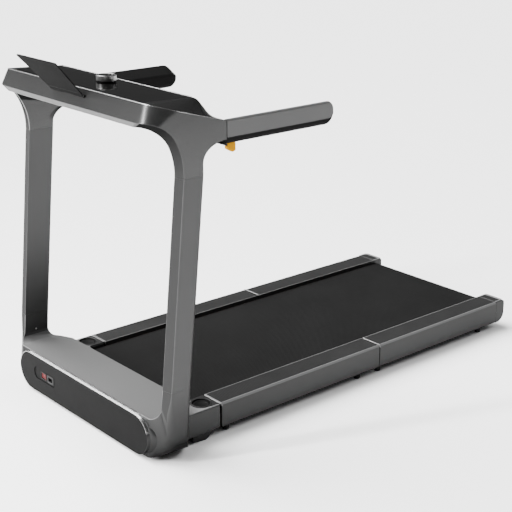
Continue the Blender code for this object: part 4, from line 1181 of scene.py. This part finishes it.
def strip_along(name, path, material):
    """Belt strip: a 2 mm sheet that follows a path of (y, z) points, with UVs in metres."""
    thick = 0.0019
    vertices, marks, travelled = [], [], 0.0
    for i, (y, z) in enumerate(path):
        before, after = path[max(i - 1, 0)], path[min(i + 1, len(path) - 1)]
        dy, dz = after[0] - before[0], after[1] - before[1]
        length = math.hypot(dy, dz)
        normal = (-dz / length, dy / length)
        if i:
            travelled += math.hypot(y - path[i - 1][0], z - path[i - 1][1])
        for side in (0, 1):
            offset = thick * (side - 0.5)
            for x in (-BELT_HALF, BELT_HALF):
                vertices.append((x, y + normal[0] * offset, z + normal[1] * offset))
                marks.append((x, travelled))
    faces = []
    for i in range(len(path) - 1):
        a, b = 4 * i, 4 * i + 4
        faces += [(a, a + 1, b + 1, b), (a + 2, b + 2, b + 3, a + 3), (a, b, b + 2, a + 2),
                  (a + 1, a + 3, b + 3, b + 1)]
    end = 4 * (len(path) - 1)
    faces += [(0, 2, 3, 1), (end, end + 1, end + 3, end + 2)]
    piece = new_piece(name, vertices, faces, material, None)
    layer = piece.data.uv_layers.new(name="metres")
    for loop in piece.data.loops:
        layer.data[loop.index].uv = marks[loop.vertex_index]
    piece.data.set_sharp_from_angle(angle=math.radians(40))
    return piece


def line(start, end, pitch):
    """Evenly spaced numbers between two ends, both included."""
    count = max(1, round(abs(end - start) / pitch))
    return [mix(start, end, i / count) for i in range(count + 1)]


def level_run(start, end, pitch, z):
    """Points (y, z) of a level stretch of the belt."""
    return [(place(y), z) for y in line(start, end, pitch)]


def make_belt():
    """Running belt: two strips finely divided at the folds, and the return run under the front half."""
    top = BELT_TOP - 0.001
    roller, rear_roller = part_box("front_roller"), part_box("rear_roller")
    front_y = (roller[0].y + roller[1].y) / 2 - FOLD
    rear_y = (rear_roller[0].y + rear_roller[1].y) / 2 - FOLD
    roller_z = (roller[0].z + roller[1].z) / 2
    radius = top - roller_z
    low = roller_z - radius
    meet = HALF_DECK / 2
    first_bend, second_bend = 0.009, 0.019
    bend_from, bend_to = HALF_DECK - second_bend, HALF_DECK + second_bend
    path = level_run(-0.012, front_y, 0.03, low)
    path += arc((place(front_y), roller_z), radius, 262, 94, 21)
    path += level_run(front_y + 0.02, -first_bend, 0.03, top)
    path += level_run(-first_bend + 0.0005, first_bend, 0.001, top)
    path += level_run(first_bend + 0.01, meet, 0.05, top)
    front = strip_along("belt_front", path, "belt")
    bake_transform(front)
    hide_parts("belt_front_wrap", "belt_top_strand")
    path = level_run(meet, bend_from - 0.01, 0.05, top)
    path += level_run(bend_from, bend_to, 0.001, top)
    path += level_run(bend_to + 0.01, rear_y, 0.05, top)
    path += arc((place(rear_y), roller_z), radius, 82, -86, 21)
    path += level_run(rear_y - 0.02, bend_to + 0.002, 0.05, low)
    rear = strip_along("belt_rear", path, "belt")
    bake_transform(rear)
    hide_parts("belt_rear_wrap")
    run = strip_along("belt_return", level_run(HALF_DECK - 0.004, 0.004, 0.05, low), "belt")
    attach(run, "deck_front")
    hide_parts("belt_return_strand")


STUB_IN = 0.2390            # inner and outer X of a stub's top, and its rear end
STUB_OUT = DECK_OUT - 0.0024
STUB_REAR = -0.0048


def make_knuckle_top(side, sign, x, y, reach):
    """Black plate round the release pedal, and the shoulder round its outer side whose pale paint is
    painted light on the stub's top.
    """
    edge = [(STUB_IN, -0.0930), (0.2625, -0.0930), (0.3000, -0.1072), (STUB_OUT, -0.1110),
            (STUB_OUT, STUB_REAR)]
    ring = arc((x, y), reach + 0.0070, 205, 350, 14)
    border = [(STUB_IN, y - 0.012), *ring, (0.3060, y + 0.014), (0.3068, STUB_REAR)]
    shoulder = [(sign * a, place(b)) for a, b in edge + border[::-1]]
    shoulder = prism("knuckle_shoulder_" + side, shoulder, RAIL_TOP - 0.0034, RAIL_TOP - 0.0006, "Z",
                     "rim", "frame")
    bevel(shoulder, 0.0012, 3)
    outline = [(sign * a, place(b)) for a, b in [*border, (STUB_IN, STUB_REAR)]]
    plate = prism("knuckle_plate_" + side, outline, RAIL_TOP - 0.0030, RAIL_TOP, "Z", "black", "frame")
    hole = arc((sign * x, place(y)), reach + 0.0018, 0, 345, 23)
    cut_now(plate, guide_prism(hole, RAIL_TOP - 0.01, RAIL_TOP + 0.01, "Z"))
    bevel(plate, 0.0005, 2)
    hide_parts("knuckle_cap_" + side)


def make_pedal(side, centre, reach, low, high):
    """Round release pedal with a dished top, and the ring round it."""
    spun("pedal_ring_" + side,
         [(reach + 0.0018, RAIL_TOP - 0.0040), (reach + 0.0018, RAIL_TOP + 0.0006),
          (reach + 0.0030, RAIL_TOP + 0.0011), (reach + 0.0055, RAIL_TOP + 0.0003),
          (reach + 0.0055, RAIL_TOP - 0.0005), (reach + 0.0025, RAIL_TOP - 0.0005)],
         centre, (0, 0, 1), "black", "frame")
    top = high.z
    pedal = spun("pedal_disc_" + side,
                 [(0, low.z), (reach, low.z), (reach, top - 0.0020), (reach - 0.0012, top - 0.0004),
                  (reach - 0.004, top), (reach - 0.006, top - 0.0008), (reach - 0.009, top - 0.0026),
                  (0, top - 0.0034)],
                 centre, (0, 0, 1), "grip", "fold_pedal_" + side)
    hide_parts("fold_pedal_" + side)


def make_wheel(side):
    """Transport wheel with a stepped hub."""
    low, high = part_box("transport_wheel_" + side)
    middle = (low + high) / 2
    radius, half = (high.z - low.z) / 2, (high.x - low.x) / 2
    wheel = spun("wheel_" + side,
                 [(0.0026, -half), (radius * 0.62, -half), (radius * 0.7, -half + 0.0012),
                  (radius - 0.0012, -half + 0.0012), (radius, -half + 0.003),
                  (radius, half - 0.003), (radius - 0.0012, half - 0.0012),
                  (radius * 0.7, half - 0.0012), (radius * 0.62, half), (0.0026, half)],
                 middle, (1, 0, 0), "rubber", "transport_wheel_" + side, 48)
    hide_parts("transport_wheel_" + side)


def make_knuckles():
    """Fixed stubs in front of the first fold: body, cap, pedal, bracket and wheel."""
    for side, sign in SIDES:
        refined("knuckle_" + side, "hinge_block_" + side, "rail", 0.0022, 3)
        low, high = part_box("fold_pedal_" + side)
        centre = ((low.x + high.x) / 2, (low.y + high.y) / 2, 0.0)
        reach = (high.x - low.x) / 2
        make_knuckle_top(side, sign, abs(centre[0]), centre[1] - FOLD, reach)
        make_pedal(side, centre, reach, low, high)
        refined("wheel_bracket_" + side, "wheel_carrier_" + side, "black", 0.0015)
        make_wheel(side)


# ---------------------------------------------------------------- console fittings
def make_console_glass():
    """Glass on the console's top and the bright ridge behind it, a painted highlight."""
    refined("console_glass", "control_glass", "glass", 0.0006)
    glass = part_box("console_glass")
    ridge_y = glass[1].y + 0.0006
    ridge_z = glass_z(ridge_y - FOLD)
    ridge = [(ridge_y, ridge_z - 0.003), (ridge_y + 0.0026, ridge_z - 0.003),
             (ridge_y + 0.0026, ridge_z + 0.0006), (ridge_y + 0.0016, ridge_z + 0.0014),
             (ridge_y, ridge_z + 0.0006)]
    rear_line = prism("glass_rear_line", ridge, glass[0].x + 0.004, glass[1].x - 0.004, "X", "trim",
                      "frame")
    bevel(rear_line, 0.0003, 1)


KNOB_RADIUS = 0.0262
KNOB_TOP = 0.0176           # height of the rim above the glass
KNOB_RIM_IN = KNOB_RADIUS - 0.0036


def make_knob():
    """Speed knob with a polished rim round its dark gloss top, and the collar under it."""
    joint = JOINTS["knob_turn"]
    seat, normal = Vector(joint["pos_m"]), Vector(joint["axis"])
    knob = spun("knob_dial",
                [(0, 0.0112), (0.0054, 0.0112), (0.0054, 0.0028), (KNOB_RADIUS - 0.0010, 0.0028),
                 (KNOB_RADIUS, 0.0036), (KNOB_RADIUS, KNOB_TOP - 0.0016),
                 (KNOB_RADIUS - 0.0006, KNOB_TOP - 0.0006), (KNOB_RADIUS - 0.0016, KNOB_TOP),
                 (KNOB_RADIUS - 0.0030, KNOB_TOP), (KNOB_RIM_IN, KNOB_TOP - 0.0006),
                 (KNOB_RADIUS - 0.0042, KNOB_TOP - 0.0009), (0, KNOB_TOP - 0.0011)],
                seat, normal, "knob", "speed_knob", 96)

    def height(face):
        return (face.center - seat).dot(normal)

    def in_top(face):
        across = face.center - seat - normal * height(face)
        return height(face) > 0.0135 and across.length < KNOB_RIM_IN

    repaint(knob, "knob_top", in_top)
    repaint(knob, "edge", lambda face: height(face) > 0.0162 and not in_top(face))
    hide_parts("speed_knob")
    collar = spun("knob_collar", [(0.0062, 0.0001), (0.0240, 0.0001), (0.0240, 0.0012),
                                  (0.0062, 0.0012)], seat, normal, "black", "frame",
                  64)


REST_UP = (-0.67805, 0.73502)        # Y and Z of the way the rest's plate points


def make_rest_hinge(root, up, out, start):
    """Barrel of the rest's hinge, in three pieces, and the web from it to the plate."""
    barrel = 0.0026
    for name, x0, x1, body in (("rest_barrel_left", 0.0280, 0.0765, "frame"),
                               ("rest_barrel_middle", -0.0275, 0.0275, "tablet_rest"),
                               ("rest_barrel_right", -0.0765, -0.0280, "frame")):
        spun(name, [(0.0016, x0), (barrel, x0), (barrel, x1), (0.0016, x1)], root, (1, 0, 0),
             "holder", body, 24)
    web = [root + up * 0.0018 + out * 0.0012, root + up * 0.0018 - out * 0.0012,
           root + up * (start + 0.0004) - out * 0.0012, root + up * (start + 0.0004) + out * 0.0012]
    prism("rest_web", [(p.y, p.z) for p in web], -0.0270, 0.0270, "X", "holder", "tablet_rest")


def make_rest_leaves(root):
    """Leaves that hold the hinge's outer barrels on the fascia."""
    fascia = Vector((0.0, place(FASCIA_BOTTOM[0]), FASCIA_BOTTOM[1]))
    slope = Vector((0.0, FASCIA_TOP[0] - FASCIA_BOTTOM[0], FASCIA_TOP[1] - FASCIA_BOTTOM[1]))
    reach = slope.normalized()
    facing = Vector((0.0, -reach.z, reach.y))
    level = (root - fascia).dot(reach)
    foot = fascia + reach * level
    leaf = [foot - reach * 0.0032 + facing * 0.0004, root - reach * 0.0032 - facing * 0.0004,
            root - reach * 0.0012 + facing * 0.0008, foot + reach * 0.0030 + facing * 0.0030,
            foot + reach * 0.0050 + facing * 0.0004]
    for side, sign in SIDES:
        piece = prism("rest_leaf_" + side, [(p.y, p.z) for p in leaf],
                      sign * 0.0285, sign * 0.0760, "X", "holder", "frame")
        bevel(piece, 0.0004, 2)


def make_tablet_rest():
    """Tapered plate with rounded corners, its barrel and the leaf that holds it."""
    joint = JOINTS["tablet_rest_fold"]
    root = Vector(joint["pos_m"])
    up = Vector((0.0, *REST_UP))
    out = Vector((0.0, up.z, -up.y))
    half_root, half_tip, start, tip, thick = 0.0775, 0.0920, 0.0034, 0.1235, 0.0034
    corner = 0.005

    def edge_x(reach):
        return mix(half_root, half_tip, (reach - start) / (tip - start))

    outline = []
    for centre, first in (((edge_x(tip) - corner, tip - corner), 0),
                          ((corner - edge_x(tip), tip - corner), 90),
                          ((corner - edge_x(start), start + corner), 180),
                          ((edge_x(start) - corner, start + corner), 270)):
        outline += arc(centre, corner, first, first + 90, 6)
    vertices = []
    for offset in (-thick / 2, thick / 2):
        vertices += [root + up * reach + out * offset + Vector((x, 0, 0)) for x, reach in outline]
    faces = capped_faces(len(outline), 2)
    plate = new_piece("tablet_plate", vertices, faces, "holder", "tablet_rest", False)
    bevel(plate, 0.0007, 3)
    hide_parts("tablet_rest")
    groove = [root + up * a - out * b for a, b in ((0.0105, 0.0012), (0.0130, 0.0012),
                                                  (0.0130, 0.0022), (0.0105, 0.0022))]
    prism("rest_groove", [(p.y, p.z) for p in groove], -0.0700, 0.0660, "X", "grip", "tablet_rest")
    make_rest_hinge(root, up, out, start)
    make_rest_leaves(root)


# ---------------------------------------------------------------- handrails
PLATE_GAP = 0.0014          # from the core's front end to the plate's
PLATE_THICK = 0.0022
TOP_SLOPE = 0.42            # fall of the core's top towards the walker's side
FREE_END_RADIUS = 0.027


def handrail_section(y):
    """Section of the handrail's core in X and Z, shrinking along its round free end."""
    shrink = handrail_shrink(y)
    low, high = HANDRAIL_LOW + shrink, HANDRAIL_HIGH - shrink * 0.86 - 0.0006
    squeeze = shrink * 0.30
    left, right = HANDRAIL_IN + squeeze, HANDRAIL_OUT - PLATE_THICK - squeeze * 0.6
    half = (high - low) / 2
    drop = min(TOP_SLOPE * (right - left), half * 0.7)
    soft, tight = min(0.0110, (half - drop / 2) * 0.7), min(0.0045, half * 0.4)
    lower = soft * 0.8
    points = []
    for centre, radius, start, turn in (((right - lower, low + lower), lower, -90, 90),
                                        ((right - tight, high - tight), tight, 0, 110),
                                        ((left + soft, high - drop - soft), soft, 110, 70),
                                        ((left + soft, low + soft), soft, 180, 90)):
        points += arc(centre, radius, start, start + turn, 6)
    return points


def make_handrails():
    """Black grips with a painted outer plate, and the yellow release levers."""
    start = ARM_END_Y + 0.0004
    stations = [start, start + 0.001] + line(0.02, HANDRAIL_END - 0.030, 0.05)
    stations += [HANDRAIL_END - FREE_END_RADIUS * (1 - math.sin(math.radians(a))) for a in range(0, 89, 8)]
    for side, sign in SIDES:
        sections = [[Vector((sign * x, place(y), z)) for x, z in handrail_section(y)]
                    for y in stations]
        body = "handrail_" + side
        core = loft("grip_core_" + side, sections, "grip", body)
        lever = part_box("release_lever_" + side)
        cut_now(core, guide_box(sorted((sign * 0.3300, sign * 0.3480)),
                                (lever[0].y - 0.001, place(0.0400)), (0.79, 0.8200)))
        axis = JOINTS["handrail_fold_" + side]["pos_m"]
        notch = arc((axis[1], axis[2]), 0.0036, 0, 345, 23)
        cut_now(core, guide_prism(notch, sign * 0.3185, sign * 0.3592, "X"))
        even_normals(core, 40)
        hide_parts("handrail_" + side)
        make_handrail_plate(side, sign, stations, body)
        refined("release_lever_" + side, "latch_tab_" + side, "yellow", 0.0022, 3)


def handrail_shrink(y):
    """How far a handrail's outline draws in along its round free end."""
    reach = max(0.0, y - (HANDRAIL_END - FREE_END_RADIUS))
    return FREE_END_RADIUS - math.sqrt(max(0.0, FREE_END_RADIUS ** 2 - reach ** 2))


def plate_section(y):
    """Section of the plate that covers a handrail's outer side and its top edge."""
    shrink = handrail_shrink(y)
    low, high = HANDRAIL_LOW + shrink, HANDRAIL_HIGH - shrink * 0.86
    outer, top = HANDRAIL_OUT - shrink * 0.18, high + 0.0004
    bottom = mix(low, high, 0.26)
    radius = min(0.0065, (top - bottom) * 0.8)
    skin = [(outer - 0.0012, bottom), (outer, bottom + 0.0012)]
    skin += arc((outer - radius, top - radius), radius, 0, 75, 7)
    lining = [(x - PLATE_THICK, z - PLATE_THICK) for x, z in skin[1:-1]]
    return skin + lining[::-1]


def make_handrail_plate(side, sign, stations, body):
    """Painted plate over the outer side and the top edge of a handrail."""
    sections = []
    for y in [stations[0] + PLATE_GAP] + stations[2:]:
        sections.append([Vector((sign * x, place(y), z)) for x, z in plate_section(y)])
    plate = loft("handrail_plate_" + side, sections, "plate", body)
    even_normals(plate, 40)


# ---------------------------------------------------------------- small fixings
def make_fixings():
    """Screws and the black inserts on the inner faces of the uprights."""
    for side, sign in SIDES:
        at = (sign * (RING_IN - 0.0002), place(-0.1745), 0.150)
        spun("upright_screw_" + side,
             [(0, 0.0016), (0.0012, 0.0016), (0.0015, 0.0010), (0.0022, 0.0010), (0.0030, 0.0004),
              (0.0030, -0.0010), (0, -0.0010)], at, (-sign, 0, 0), "steel", "frame", 32)
        spun("screw_seat_" + side, [(0.0032, -0.0010), (0.0046, -0.0010), (0.0046, 0.0002),
                                    (0.0032, 0.0002)], at, (-sign, 0, 0), "black", "frame",
             32)
        block("sensor_window_" + side, (sign * (RING_IN - 0.0006), sign * (RING_IN + 0.0012)),
              (place(-0.1255), place(-0.1030)), (0.8165, 0.8245), "black", "frame",
              0.0005)


# The CAD nodes that stay visible, by material.
CAD_FINISHES = {
    "black": ("power_inlet", "bottom_pan", "belly_pan_front", "belly_pan_rear",
              "handrail_pin_left", "handrail_pin_right"),
    "steel": ("motor", "motor_pulley", "front_roller", "rear_roller", "front_axle", "rear_axle",
              "cross_tube_front", "cross_tube_rear", "knob_shaft", "tablet_rest_pin"),
    "rubber": ("drive_belt",),
    "circuit": ("motor_controller", "display_board", "knob_encoder"),
    "edge": ("front_fold_pin_left", "front_fold_pin_right", "middle_fold_pin_left",
             "middle_fold_pin_right"),
    "board": ("deck_board_front", "deck_board_rear"),
}


def finish_cad_nodes():
    """Give the nodes that stay visible their procedural materials."""
    for material, names in CAD_FINISHES.items():
        for name in names:
            mesh = NODES[name].data
            mesh.materials.clear()
            mesh.materials.append(MATERIALS[material])


def main():
    """Build the scene around the frame."""
    make_materials()
    make_camera()
    make_world()
    make_floor()
    make_lights()
    make_base_shell()
    make_upright_shells()
    make_console_shell()
    make_front_bezel()
    make_front_panel()
    make_rails()
    make_end_caps()
    make_belt()
    make_knuckles()
    make_console_glass()
    make_knob()
    make_tablet_rest()
    make_handrails()
    make_fixings()
    finish_cad_nodes()


main()
